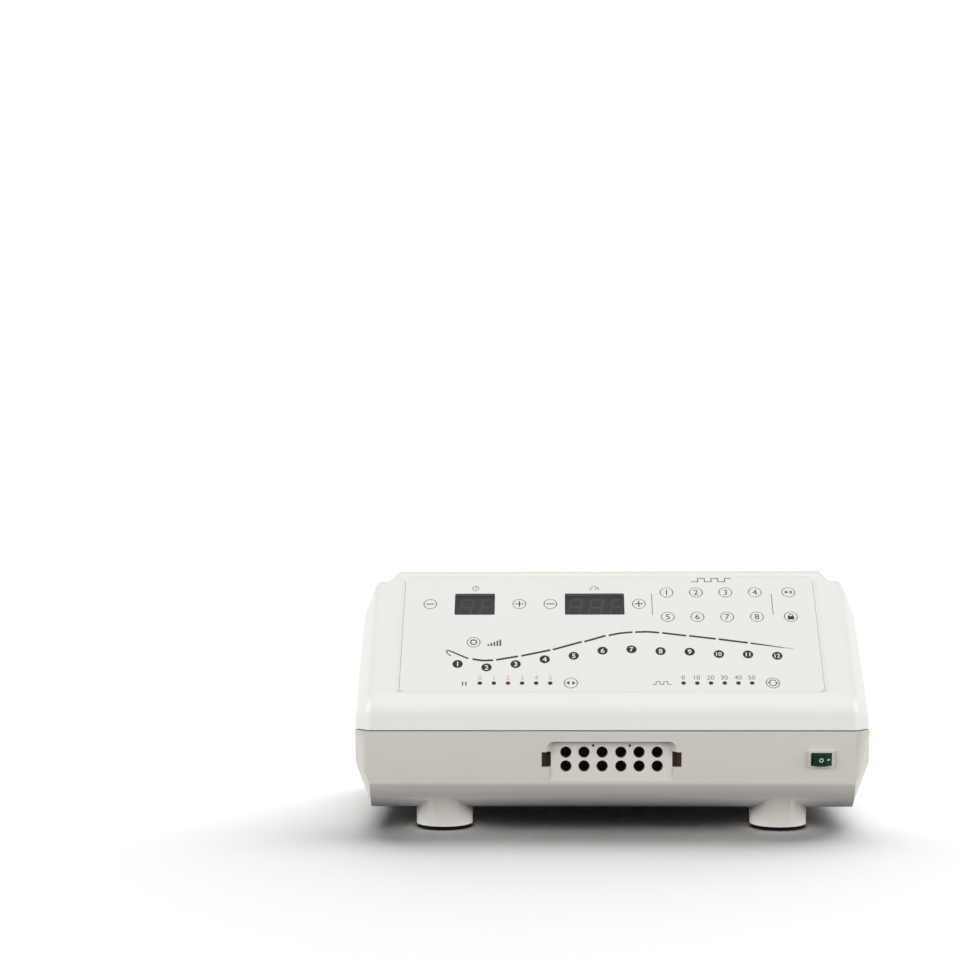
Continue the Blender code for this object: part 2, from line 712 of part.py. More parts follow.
def make_upper_casing():
    base = SEAM_HEIGHT + SEAM_GAP / 2
    rim = base - OVERRUN
    wall_crest = CREST_HEIGHT - SHOULDER_DROP - WALL_CREST_DROP
    wall_rear = REAR_TOP_HEIGHT - SHOULDER_DROP - WALL_CREST_DROP
    radii = (BAND_RADIUS, CREST_RADIUS, REAR_TOP_RADIUS)
    middle = [
        (0, rim), (0, BAND_HEIGHT), (CREST_DEPTH, CREST_HEIGHT),
        (BODY_DEPTH, REAR_TOP_HEIGHT), (BODY_DEPTH, rim),
    ]
    edge = [
        (0, rim), (0, BAND_HEIGHT), (SHOULDER_DEPTH, CREST_HEIGHT - SHOULDER_DROP),
        (BODY_DEPTH, REAR_TOP_HEIGHT - SHOULDER_DROP), (BODY_DEPTH, rim),
    ]
    side = [
        (CORNER_CUT, rim), (CORNER_CUT, WALL_BAND_HEIGHT), (WALL_CREST_DEPTH, wall_crest),
        (BODY_DEPTH - CORNER_CUT, wall_rear), (BODY_DEPTH - CORNER_CUT, rim),
    ]
    profiles = [rounded_line(line, radii, CORNER_STEPS) for line in (middle, edge)]
    profiles.append(rounded_line(side, [WALL_RADIUS] * len(radii), CORNER_STEPS))
    last_row = len(profiles[0]) - 1

    def columns_at(index):
        columns = [(0, 1, 0)]
        for step in range(FLANK_STEPS + 1):
            share = step / FLANK_STEPS
            inset = RAISED_TOP_INSET + (RAISED_FOOT_INSET - RAISED_TOP_INSET) * share
            columns.append((HALF_WIDTH - inset, 1 - smooth_step(share), 0))
        soft = EDGE_CRISP_SHARE if index in (0, last_row) else EDGE_SOFT_SHARE
        corners = [(-EDGE_START_SHARE, 0), (0, 0), (1, 1), (1, 1 + EDGE_START_SHARE)]
        for across_share, side_share in rounded_line(corners, [soft, soft], EDGE_STEPS):
            columns.append((FRONT_HALF + CORNER_CUT * across_share, 0, side_share))
        return columns

    casing = casing_shell("upper_casing", *profiles, columns_at)
    ledge = plate(
        "panel_ledge",
        [panel_outline(LEDGE_OUTER), panel_outline(-LEDGE_WIDTH)],
        -LEDGE_SINK,
        CLEARANCE - BOARD_DEPTH,
        PANEL_FRAME,
    )
    bosses = []
    for name, (across, depth) in BOSS_PLACES.items():
        start = at(across, depth, rim)
        bosses.append(rod(f"upper_boss_{name}", BOSS_DIAMETER, BOSS_RISE + OVERRUN, start, BOSS_STEPS))
        rib_end = math.copysign(HALF_WIDTH - WALL / 2, across)
        size = (abs(rib_end - across), BOSS_RIB, BOSS_RISE - 2 * BOSS_RIB)
        rib_middle = at((across + rib_end) / 2, depth, base + BOSS_RISE / 2)
        bosses.append(box(f"boss_rib_{name}", size, rib_middle))
    join(casing, ledge, *bosses)
    recess = plate(
        "panel_recess", [panel_outline(CLEARANCE)], OVERRUN, -PANEL_THICKNESS - CLEARANCE, PANEL_FRAME
    )
    cuts = [recess, casing_trimmer("below_seam", base - OVERRUN)]
    for name, (across, depth) in BOSS_PLACES.items():
        start = at(across, depth, SEAM_HEIGHT)
        length = SCREW_END_HEIGHT + SCREW_HEAD_THICKNESS - SEAM_HEIGHT
        cuts.append(rod(f"tapped_{name}", SCREW_DIAMETER + 2 * CLEARANCE, length, start, SCREW_STEPS))
    for number in range(VENT_COUNT):
        across = VENT_MIDDLE + (number - (VENT_COUNT - 1) / 2) * VENT_PITCH
        size = (VENT_WIDTH, WALL + 2 * OVERRUN, VENT_HIGH - VENT_LOW)
        slot_middle = at(across, BODY_DEPTH - WALL / 2, (VENT_HIGH + VENT_LOW) / 2)
        cuts.append(box(f"vent_{number}", size, slot_middle))
    cut(casing, *cuts)
    paint(casing, CASING_WHITE)


def pocket_outline(margin):
    """The hose pocket's outline on the front, grown or shrunk by a margin."""
    low = POCKET_BOTTOM - margin
    high = POCKET_TOP + margin
    half_low = POCKET_BOTTOM_WIDTH / 2 + margin
    half_high = POCKET_TOP_WIDTH / 2 + margin
    corners = [(-half_low, low), (half_low, low), (half_high, high), (-half_high, high)]
    radius = POCKET_RADIUS + margin
    return rounded_loop(corners, [0, 0, radius, radius], ROUND_STEPS)


def front_setback(height):
    """How far back the front of the lower casing leans at a height."""
    return (SEAM_HEIGHT - height) * math.tan(FRONT_LEAN)


def latch_slots(name, back):
    """The two slots that the hose plug's latches snap into."""
    slots = []
    for side in (-1, 1):
        size = (LATCH_SLOT_OUTER - LATCH_SLOT_INNER, back + OVERRUN, LATCH_SLOT_HIGH - LATCH_SLOT_LOW)
        middle = at(
            side * (LATCH_SLOT_OUTER + LATCH_SLOT_INNER) / 2,
            (back - OVERRUN) / 2,
            (LATCH_SLOT_HIGH + LATCH_SLOT_LOW) / 2,
        )
        slots.append(box(f"{name}_{side}", size, middle))
    return slots


def make_lower_casing():
    top = SEAM_HEIGHT - SEAM_GAP / 2
    rim = top + OVERRUN
    middle = [
        (front_setback(rim), rim), (front_setback(BOTTOM_HEIGHT), BOTTOM_HEIGHT),
        (BODY_DEPTH, BOTTOM_HEIGHT), (BODY_DEPTH, rim),
    ]
    side = [
        (CORNER_CUT + front_setback(rim), rim),
        (CORNER_CUT + front_setback(SIDE_CUT_HEIGHT), SIDE_CUT_HEIGHT),
        (BODY_DEPTH - CORNER_CUT, SIDE_CUT_HEIGHT),
        (BODY_DEPTH - CORNER_CUT, rim),
    ]
    profile = rounded_line(middle, (BOTTOM_RADIUS, REAR_BOTTOM_RADIUS), CORNER_STEPS)
    side_profile = rounded_line(side, (SIDE_CUT_RADIUS, SIDE_CUT_RADIUS), CORNER_STEPS)
    columns = [(0, 0, 0), (FRONT_HALF, 0, 0), (HALF_WIDTH, 0, 1)]
    casing = casing_shell("lower_casing", profile, profile, side_profile, lambda index: columns)

    joined = []
    hollows = [casing_trimmer("above_seam", top + OVERRUN)]
    pod_start = PAD_THICKNESS + CLEARANCE
    for name, (across, depth) in FOOT_PLACES.items():
        length = BOTTOM_HEIGHT + POD_JOIN - pod_start
        start = at(across, depth, pod_start)
        joined.append(rod(f"pod_{name}", POD_DIAMETER, length, start, POD_STEPS))
        inside = at(across, depth, pod_start + WALL)
        hollows.append(rod(f"hollow_{name}", POD_DIAMETER - 2 * WALL, length, inside, POD_STEPS))
    for name, (across, depth) in BOSS_PLACES.items():
        start = at(across, depth, BOTTOM_HEIGHT + WALL / 2)
        length = rim - BOTTOM_HEIGHT - WALL / 2
        joined.append(rod(f"lower_boss_{name}", BOSS_DIAMETER, length, start, BOSS_STEPS))
        head_room = SCREW_HEAD_DIAMETER + 2 * CLEARANCE
        head_length = SCREW_HEAD_HEIGHT + SCREW_HEAD_THICKNESS + CLEARANCE
        hollows.append(rod(f"sunk_{name}", head_room, head_length, at(across, depth, 0), BOSS_STEPS))
        shaft_room = SCREW_DIAMETER + 2 * CLEARANCE
        length = top + OVERRUN
        hollows.append(rod(f"shaft_{name}", shaft_room, length, at(across, depth, 0), SCREW_STEPS))
    for side_sign in (-1, 1):
        size = (PEDESTAL_WIDTH, PEDESTAL_LENGTH, DISTRIBUTOR_BOTTOM - CLEARANCE - FLOOR_TOP + WALL / 2)
        height = (DISTRIBUTOR_BOTTOM - CLEARANCE + FLOOR_TOP - WALL / 2) / 2
        place = at(side_sign * PEDESTAL_PLACE, DISTRIBUTOR_DEPTH, height)
        joined.append(box(f"pedestal_{side_sign}", size, place))
    for number, place in enumerate(standoff_places()):
        start = Vector((place.x, place.y, FLOOR_TOP - WALL / 2))
        length = STANDOFF_RISE + WALL / 2
        joined.append(rod(f"standoff_{number}", STANDOFF_DIAMETER, length, start, BOSS_STEPS))

    high = POCKET_TOP + POCKET_WALL
    low = POCKET_BOTTOM - POCKET_WALL
    back = POCKET_DEPTH + WALL
    sink = WALL / 2
    rim = [
        (back, low), (back, high), (front_setback(high) + sink, high), (front_setback(low) + sink, low),
    ]
    rim_half = POCKET_TOP_WIDTH / 2 + POCKET_WALL
    joined.append(plate("pocket_rim", [rim], rim_half, -rim_half, SIDE_FRAME))
    join(casing, *joined)
    pocket = plate("pocket", [pocket_outline(0)], OVERRUN, -back - OVERRUN, FRONT_FRAME)
    switch_room = box(
        "switch_room",
        (HOUSING_WIDTH + 2 * CLEARANCE, HOUSING_HEIGHT + 2 * CLEARANCE, 2 * (WALL + OVERRUN)),
        (0, 0, 0),
        SWITCH_FRAME,
    )
    inlet_room = plate(
        "inlet_room",
        [rectangle(INLET_WIDTH + 2 * CLEARANCE, INLET_TALL + 2 * CLEARANCE, INLET_RADIUS)],
        OVERRUN,
        -WALL - OVERRUN,
        INLET_FRAME,
    )
    cut(casing, *hollows, pocket, switch_room, inlet_room, *latch_slots("latch_slot", back + OVERRUN))
    paint(casing, CASING_GREY)


def make_control_panel():
    holes = [circle(KEY_DIAMETER / 2 + CLEARANCE, KEY_STEPS, place) for place in KEY_PLACES.values()]
    for across, width in WINDOW_PLACES.values():
        holes.append(rectangle(width, WINDOW_HEIGHT, WINDOW_RADIUS, (across, DISPLAY_ROW), SMALL_STEPS))
    for place in CHAMBER_PLACES:
        holes.append(circle(CHAMBER_LIGHT_DIAMETER / 2 + CLEARANCE, CHAMBER_LIGHT_STEPS, place))
    for place in HOLD_PLACES + INTERVAL_PLACES:
        holes.append(circle(STEP_LIGHT_DIAMETER / 2 + CLEARANCE, STEP_LIGHT_STEPS, place))
    panel = plate("control_panel", [panel_outline(0), *holes], 0, -PANEL_THICKNESS, PANEL_FRAME)
    paint(panel, PANEL_WHITE)


def make_keys():
    """The keys share one turned shape: a cap, the flange that keeps it in, and a stem."""
    radius = KEY_DIAMETER / 2
    flange_radius = KEY_FLANGE_DIAMETER / 2
    flange_top = -PANEL_THICKNESS - CLEARANCE
    flange_bottom = flange_top - KEY_FLANGE_THICKNESS
    stem_end = TACT_RISE + CLEARANCE + KEY_TRAVEL - BOARD_DEPTH
    profile = [
        (0, KEY_PROUD),
        (radius - KEY_CHAMFER, KEY_PROUD),
        (radius, KEY_PROUD - KEY_CHAMFER),
        (radius, flange_top),
        (flange_radius, flange_top),
        (flange_radius, flange_bottom),
        (KEY_STEM_DIAMETER / 2, flange_bottom),
        (KEY_STEM_DIAMETER / 2, stem_end),
        (0, stem_end),
    ]
    shared = None
    for name, (across, up) in KEY_PLACES.items():
        frame = PANEL_FRAME @ Matrix.Translation((across, up, 0))
        key = turned(name, profile, KEY_STEPS, frame, shared)
        shared = key.data
        paint(key, PANEL_WHITE)


def make_displays():
    top = -PANEL_THICKNESS - CLEARANCE
    flange_bottom = top - WINDOW_FLANGE_THICKNESS
    for name, (across, width) in WINDOW_PLACES.items():
        middle = (across, DISPLAY_ROW)
        front = rectangle(
            width - 2 * CLEARANCE, WINDOW_HEIGHT - 2 * CLEARANCE, WINDOW_RADIUS, middle, SMALL_STEPS
        )
        back = rectangle(
            width + 2 * WINDOW_FLANGE, WINDOW_HEIGHT + 2 * WINDOW_FLANGE, WINDOW_RADIUS, middle, SMALL_STEPS
        )
        window = plate(f"{name}_window", [front], 0, top - WINDOW_FLANGE_THICKNESS / 2, PANEL_FRAME)
        join(window, plate(f"{name}_window_flange", [back], top, flange_bottom, PANEL_FRAME))
        paint(window, SMOKED)
        digits = plate(
            f"{name}_digits",
            [rectangle(width - DIGIT_MARGIN, WINDOW_HEIGHT - DIGIT_MARGIN, middle=middle)],
            flange_bottom - CLEARANCE,
            CLEARANCE - BOARD_DEPTH,
            PANEL_FRAME,
        )
        paint(digits, LAMP_BLACK)


def make_light_guide(name, places, diameter, steps, outline, finish):
    """Round lenses that stand up through the panel from one strip behind it."""
    top = -PANEL_THICKNESS - CLEARANCE
    guide = plate(name, [outline], top, top - GUIDE_THICKNESS, PANEL_FRAME)
    start = top - GUIDE_THICKNESS / 2
    lenses = [
        rod(f"{name}_lens_{number}", diameter, -start, (*place, start), steps, PANEL_FRAME)
        for number, place in enumerate(places)
    ]
    paint(join(guide, *lenses), finish)


def make_lights():
    reach = CHAMBER_LIGHT_DIAMETER / 2 + GUIDE_MARGIN
    line = [Vector(place) for place in CHAMBER_PLACES]
    line[0] = line[0] - Vector((reach, 0))
    line[-1] = line[-1] + Vector((reach, 0))
    offset = Vector((0, reach))
    strip = [point - offset for point in line] + [point + offset for point in reversed(line)]
    make_light_guide(
        "number_lights", CHAMBER_PLACES, CHAMBER_LIGHT_DIAMETER, CHAMBER_LIGHT_STEPS, strip, LAMP_BLACK
    )
    for name, places in (("hold_lights", HOLD_PLACES), ("interval_lights", INTERVAL_PLACES)):
        size = STEP_LIGHT_DIAMETER + 2 * GUIDE_MARGIN
        first, last = places[0][0], places[-1][0]
        strip = rectangle(last - first + size, size, middle=((first + last) / 2, BOTTOM_ROW))
        make_light_guide(name, places, STEP_LIGHT_DIAMETER, STEP_LIGHT_STEPS, strip, LENS_GREY)


def make_display_board():
    board = plate(
        "display_board",
        [panel_outline(BOARD_MARGIN)],
        -BOARD_DEPTH,
        -BOARD_DEPTH - BOARD_THICKNESS,
        PANEL_FRAME,
    )
    size = (TACT_SIZE, TACT_SIZE, TACT_RISE + TACT_SINK)
    height = (TACT_RISE - TACT_SINK) / 2 - BOARD_DEPTH
    switches = [
        box(f"tact_{name}", size, (across, up, height), PANEL_FRAME)
        for name, (across, up) in KEY_PLACES.items()
    ]
    paint(join(board, *switches), BOARD_GREEN)


def make_air_socket():
    """The block behind the pocket: its front is the pocket's floor, with a bore for each hose."""
    front = -POCKET_DEPTH
    socket = plate("air_socket", [pocket_outline(-CLEARANCE)], front, -SOCKET_BACK, FRONT_FRAME)
    flange_front = front - WALL - SOCKET_FLANGE_GAP
    flange = plate(
        "socket_flange",
        [pocket_outline(SOCKET_FLANGE)],
        flange_front,
        flange_front - SOCKET_FLANGE_THICKNESS,
        FRONT_FRAME,
    )
    join(socket, flange)
    cuts = latch_slots("socket_slot", SOCKET_BACK + OVERRUN)
    length = PORT_BORE_DEPTH + OVERRUN
    start = front - PORT_BORE_DEPTH
    for number, place in enumerate(PORT_PLACES):
        cuts.append(rod(f"bore_{number}", PORT_DIAMETER, length, (*place, start), PORT_STEPS, FRONT_FRAME))
    for side in (-1, 1):
        place = (side * PIN_HOLE_REACH, PIN_HOLE_HEIGHT, front - PIN_HOLE_DEPTH)
        length = PIN_HOLE_DEPTH + OVERRUN
        cuts.append(rod(f"pin_{side}", PIN_HOLE_DIAMETER, length, place, PIN_HOLE_STEPS, FRONT_FRAME))
    cut(socket, *cuts)
    paint(socket, CASING_GREY)


def make_power_switch():
    """A rocker switch whose hinge stands up the leaning front; at rest its right half is pressed."""
    bezel = rectangle(BEZEL_WIDTH, BEZEL_HEIGHT, BEZEL_RADIUS, steps=SMALL_STEPS)
    housing = plate("power_switch_body", [bezel], BEZEL_PROUD, CLEARANCE, SWITCH_FRAME)
    tail_top = (BEZEL_PROUD + CLEARANCE) / 2
    tail = plate(
        "switch_tail",
        [rectangle(HOUSING_WIDTH, HOUSING_HEIGHT)],
        tail_top,
        -HOUSING_DEPTH,
        SWITCH_FRAME,
    )
    join(housing, tail)
    slot = plate(
        "rocker_slot",
        [rectangle(ROCKER_SLOT_WIDTH, ROCKER_SLOT_HEIGHT)],
        BEZEL_PROUD + OVERRUN,
        -ROCKER_SLOT_DEPTH,
        SWITCH_FRAME,
    )
    cut(housing, slot)
    paint(housing, SWITCH_BEIGE)

    half_foot = ROCKER_FOOT_WIDTH / 2
    foot = ROCKER_PIVOT_DEPTH - ROCKER_FOOT_DEPTH
    end = ROCKER_PIVOT_DEPTH + ROCKER_END_PROUD
    ridge = ROCKER_PIVOT_DEPTH + ROCKER_RIDGE_PROUD
    outline = [
        (-half_foot, foot),
        (half_foot, foot),
        (ROCKER_WIDTH / 2, end),
        (ROCKER_RIDGE_REACH, ridge),
        (-ROCKER_RIDGE_REACH, ridge),
        (-ROCKER_WIDTH / 2, end),
    ]
    pivot = (
        SWITCH_FRAME
        @ Matrix.Translation((0, 0, BEZEL_PROUD - ROCKER_PIVOT_DEPTH))
        @ Matrix.Rotation(ROCKER_REST, 4, "Y")
        @ Matrix.Rotation(RIGHT_ANGLE, 4, "X")
    )
    rocker = plate("power_rocker", [outline], ROCKER_HEIGHT / 2, -ROCKER_HEIGHT / 2, pivot)
    paint(rocker, ROCKER_GREEN)


def make_feet():
    radius = PAD_DIAMETER / 2
    profile = [
        (0, PAD_THICKNESS),
        (radius, PAD_THICKNESS),
        (radius, PAD_CHAMFER),
        (radius - PAD_CHAMFER, 0),
        (0, 0),
    ]
    shared = None
    for name, (across, depth) in FOOT_PLACES.items():
        foot = turned(name, profile, PAD_STEPS, Matrix.Translation(at(across, depth, 0)), shared)
        shared = foot.data
        paint(foot, SOFT_BLACK)


def make_screws():
    shaft_radius = SCREW_DIAMETER / 2
    head_radius = SCREW_HEAD_DIAMETER / 2
    profile = [
        (0, SCREW_END_HEIGHT),
        (shaft_radius, SCREW_END_HEIGHT),
        (shaft_radius, SCREW_HEAD_HEIGHT + SCREW_HEAD_THICKNESS),
        (head_radius, SCREW_HEAD_HEIGHT + SCREW_HEAD_THICKNESS),
        (head_radius, SCREW_HEAD_HEIGHT),
        (0, SCREW_HEAD_HEIGHT),
    ]
    shared = None
    for name, (across, depth) in BOSS_PLACES.items():
        screw = turned(name, profile, SCREW_STEPS, Matrix.Translation(at(across, depth, 0)), shared)
        shared = screw.data
        paint(screw, STEEL)


def make_mains_inlet():
    body = plate(
        "mains_inlet",
        [rectangle(INLET_WIDTH, INLET_TALL, INLET_RADIUS)],
        CLEARANCE + FLANGE_PROUD / 2,
        -INLET_DEPTH,
        INLET_FRAME,
    )
    flange_outline = rectangle(
        INLET_WIDTH + 2 * INLET_FLANGE, INLET_TALL + 2 * INLET_FLANGE, INLET_RADIUS + INLET_FLANGE
    )
    flange = plate(
        "inlet_flange", [flange_outline], CLEARANCE + FLANGE_PROUD, CLEARANCE, INLET_FRAME
    )
    join(body, flange)
    plug_corners = rectangle(PLUG_WIDTH, PLUG_TALL, PLUG_CORNER, (0, PLUG_RISE), 1)
    recess = plate("plug_recess", [plug_corners], FLANGE_PROUD + OVERRUN, -PLUG_DEPTH, INLET_FRAME)
    fuse_slot = plate(
        "fuse_slot",
        [rectangle(FUSE_WIDTH + 2 * CLEARANCE, FUSE_TALL + 2 * CLEARANCE, middle=(0, -FUSE_DROP))],
        FLANGE_PROUD + OVERRUN,
        -FUSE_DEPTH - CLEARANCE,
        INLET_FRAME,
    )
    pin_places = {
        "inlet_pin_live": (PIN_REACH, PLUG_RISE - PIN_DROP),
        "inlet_pin_neutral": (-PIN_REACH, PLUG_RISE - PIN_DROP),
        "inlet_pin_earth": (0, PLUG_RISE + EARTH_RISE),
    }
    pin_slots = []
    for name, place in pin_places.items():
        slot = rectangle(PIN_WIDTH + 2 * CLEARANCE, PIN_TALL + 2 * CLEARANCE, middle=place)
        pin_slots.append(
            plate(f"{name}_slot", [slot], OVERRUN - PLUG_DEPTH, -INLET_DEPTH - OVERRUN, INLET_FRAME)
        )
        outline = rectangle(PIN_WIDTH, PIN_TALL, middle=place)
        paint(plate(name, [outline], PIN_LENGTH - INLET_DEPTH, -INLET_DEPTH, INLET_FRAME), BRASS)
    cut(body, recess, fuse_slot, *pin_slots)
    paint(body, LAMP_BLACK)
    drawer = plate(
        "fuse_drawer",
        [rectangle(FUSE_WIDTH, FUSE_TALL, middle=(0, -FUSE_DROP))],
        CLEARANCE + FLANGE_PROUD + FUSE_PROUD,
        -FUSE_DEPTH,
        INLET_FRAME,
    )
    paint(drawer, SOFT_BLACK)


def make_transformer():
    base = FLOOR_TOP + CLEARANCE
    frame = FRONT_FRAME @ Matrix.Translation(
        (TRANSFORMER_PLACE, base + CORE_TALL / 2, -TRANSFORMER_DEPTH)
    )
    window_width = CORE_WIDTH / 2 - 2 * CORE_LEG
    window_tall = CORE_TALL - 2 * CORE_YOKE
    windows = [
        rectangle(window_width, window_tall, middle=(side * (CORE_LEG + window_width / 2), 0))
        for side in (-1, 1)
    ]
    core = plate(
        "transformer_core", [rectangle(CORE_WIDTH, CORE_TALL), *windows], 0, -CORE_THICKNESS, frame
    )
    paint(core, STEEL)
    winding_frame = Matrix.Translation(
        at(TRANSFORMER_PLACE, TRANSFORMER_DEPTH + CORE_THICKNESS / 2, base + CORE_TALL / 2)
    )
    outside = rectangle(
        CORE_WIDTH - 2 * CORE_LEG - 2 * CLEARANCE,
        CORE_THICKNESS + 2 * WINDING_OVERHANG,
        WINDING_RADIUS,
    )
    inside = rectangle(2 * (CORE_LEG + CLEARANCE), CORE_THICKNESS + 2 * CLEARANCE)
    half = window_tall / 2 - CLEARANCE
    paint(plate("transformer_winding", [outside, inside], half, -half, winding_frame), COPPER)


def standoff_places():
    """The middles of the main board's standoffs, on the floor."""
    reach_x = MAIN_BOARD_WIDTH / 2 - STANDOFF_INSET
    reach_y = MAIN_BOARD_LENGTH / 2 - STANDOFF_INSET
    return [
        at(MAIN_BOARD_PLACE + sign_x * reach_x, MAIN_BOARD_DEPTH + sign_y * reach_y, FLOOR_TOP)
        for sign_x in (-1, 1)
        for sign_y in (-1, 1)
    ]


def make_main_board():
    bottom = FLOOR_TOP + STANDOFF_RISE + CLEARANCE
    top = bottom + BOARD_THICKNESS
    sunk = top - BOARD_THICKNESS / 2
    frame = Matrix.Translation(at(MAIN_BOARD_PLACE, MAIN_BOARD_DEPTH, 0))
    outline = rectangle(MAIN_BOARD_WIDTH, MAIN_BOARD_LENGTH)
    board = plate("main_board", [outline], top, bottom, frame)
    reach = MAIN_BOARD_WIDTH / 2 - CAPACITOR_INSET
    capacitor = rod(
        "capacitor", CAPACITOR_DIAMETER, top + CAPACITOR_HEIGHT - sunk, (-reach, -reach / 2, sunk),
        BOSS_STEPS, frame,
    )
    cooler = plate(
        "cooler",
        [rectangle(COOLER_WIDTH, COOLER_DEPTH, middle=(reach / 2, reach / 2))],
        top + COOLER_HEIGHT,
        sunk,
        frame,
    )
    chip = plate(
        "chip",
        [rectangle(CHIP_SIZE, CHIP_SIZE, middle=(reach / 2, -reach / 2))],
        top + CHIP_HEIGHT,
        sunk,
        frame,
    )
    paint(join(board, capacitor, cooler, chip), BOARD_GREEN)


def make_compressor():
    """A linear pump: a coil drives a sliding armature with a diaphragm at each end."""
    body_frame = Matrix.Translation(at(COMPRESSOR_PLACE, COMPRESSOR_DEPTH, 0))
    outline = rectangle(COMPRESSOR_WIDTH, COMPRESSOR_LENGTH, RAIL_INSET / 2)
    body = plate("compressor_body", [outline], COMPRESSOR_TOP, COMPRESSOR_BOTTOM, body_frame)
    chamber = plate(
        "chamber",
        [rectangle(CHAMBER_WIDTH, CHAMBER_LENGTH)],
        COMPRESSOR_TOP + OVERRUN,
        COMPRESSOR_TOP - CHAMBER_DEPTH,
        body_frame,
    )
    paint(cut(body, chamber), ALUMINIUM)
    lid_bottom = COMPRESSOR_TOP + CLEARANCE
    lid = plate("compressor_lid", [outline], lid_bottom + LID_THICKNESS, lid_bottom, body_frame)
    paint(lid, ALUMINIUM)

    coil_frame = SIDE_FRAME @ Matrix.Translation((COMPRESSOR_DEPTH, COIL_MIDDLE, COMPRESSOR_PLACE))
    outside = rectangle(COIL_LENGTH, COIL_HEIGHT, COIL_RADIUS)
    inside = rectangle(ARMATURE_LENGTH + 2 * CLEARANCE, ARMATURE_HEIGHT + 2 * CLEARANCE)
    coil = plate("compressor_coil", [outside, inside], COIL_WIDTH / 2, -COIL_WIDTH / 2, coil_frame)
    paint(coil, COPPER)
    armature = plate(
        "compressor_armature",
        [rectangle(ARMATURE_LENGTH, ARMATURE_HEIGHT)],
        ARMATURE_WIDTH / 2,
        -ARMATURE_WIDTH / 2,
        coil_frame,
    )
    diaphragms = []
    for side in (-1, 1):
        start = (0, 0, side * (ARMATURE_WIDTH / 2 - DIAPHRAGM_THICKNESS / 2) - DIAPHRAGM_THICKNESS / 2)
        diaphragms.append(
            rod(f"diaphragm_{side}", DIAPHRAGM_DIAMETER, DIAPHRAGM_THICKNESS, start, POD_STEPS, coil_frame)
        )
    paint(join(armature, *diaphragms), STEEL)

    for name, side in (("compressor_rail_front", -1), ("compressor_rail_rear", 1)):
        depth = COMPRESSOR_DEPTH + side * (COMPRESSOR_LENGTH / 2 - RAIL_INSET)
        rail = box(
            name,
            (RAIL_LENGTH, RAIL_WIDTH, RAIL_HEIGHT),
            at(COMPRESSOR_PLACE, depth, FLOOR_TOP + CLEARANCE + RAIL_HEIGHT / 2),
        )
        paint(rail, SOFT_BLACK)
    filter_back = COMPRESSOR_DEPTH + COMPRESSOR_LENGTH / 2 + CLEARANCE + FILTER_LENGTH
    start = (COMPRESSOR_PLACE + FILTER_OFFSET, FILTER_HEIGHT, -filter_back)
    paint(rod("intake_filter", FILTER_DIAMETER, FILTER_LENGTH, start, BOSS_STEPS, FRONT_FRAME), CLEAR_GREY)


def make_distributor():
    frame = Matrix.Translation(at(0, DISTRIBUTOR_DEPTH, 0))
    outline = rectangle(DISTRIBUTOR_WIDTH, DISTRIBUTOR_LENGTH)
    body = plate("distributor_body", [outline], DISTRIBUTOR_TOP, DISTRIBUTOR_BOTTOM, frame)
    room = DISTRIBUTOR_TOP - ROTOR_THICKNESS - 2 * CLEARANCE
    cavity = rod(
        "rotor_cavity",
        ROTOR_DIAMETER + 2 * CLEARANCE,
        DISTRIBUTOR_TOP + OVERRUN - room,
        (0, 0, room),
        ROTOR_STEPS,
        frame,
    )
    paint(cut(body, cavity), ALUMINIUM)
    rotor_start = (0, 0, room + CLEARANCE)
    rotor = rod(
        "distributor_rotor", ROTOR_DIAMETER, ROTOR_THICKNESS, rotor_start, ROTOR_STEPS, frame
    )
    shaft_start = room + CLEARANCE + ROTOR_THICKNESS / 2
    shaft_length = ROTOR_THICKNESS / 2 + ROTOR_SHAFT_RISE
    shaft = rod("rotor_shaft", ROTOR_SHAFT_DIAMETER, shaft_length, (0, 0, shaft_start), BOSS_STEPS, frame)
    join(rotor, shaft)
    air_way = box(
        "air_way",
        (ROTOR_KEY_WIDTH, ROTOR_DIAMETER / 2, ROTOR_THICKNESS),
        (0, ROTOR_DIAMETER / 2, room + CLEARANCE),
        frame,
    )
    paint(cut(rotor, air_way), SWITCH_BEIGE)

    plate_bottom = DISTRIBUTOR_TOP + CLEARANCE
    motor = plate(
        "distributor_motor",
        [rectangle(MOTOR_PLATE_WIDTH, DISTRIBUTOR_LENGTH)],
        plate_bottom + MOTOR_PLATE_THICKNESS,
        plate_bottom,
        frame,
    )
    can_start = (0, 0, plate_bottom + MOTOR_PLATE_THICKNESS / 2)
    can = rod("motor_can", MOTOR_DIAMETER, MOTOR_HEIGHT, can_start, ROTOR_STEPS, frame)
    join(motor, can)
    shaft_room = rod(
        "shaft_room",
        ROTOR_SHAFT_DIAMETER + 2 * CLEARANCE,
        ROTOR_SHAFT_RISE + 2 * CLEARANCE,
        (0, 0, DISTRIBUTOR_TOP),
        BOSS_STEPS,
        frame,
    )
    paint(cut(motor, shaft_room), STEEL)


def ribbon_outline():
    """Six round tubes side by side, joined by thin webs."""
    radius = TUBE_DIAMETER / 2
    lift = math.asin(TUBE_WEB / 2 / radius)
    middles = sorted({across for across, row in PORT_PLACES})
    upper = []
    for middle in middles:
        for step in range(TUBE_ARC_STEPS + 1):
            angle = math.pi - lift - (math.pi - 2 * lift) * step / TUBE_ARC_STEPS
            upper.append(Vector((middle + radius * math.cos(angle), radius * math.sin(angle))))
    return upper + [Vector((point.x, -point.y)) for point in reversed(upper)]


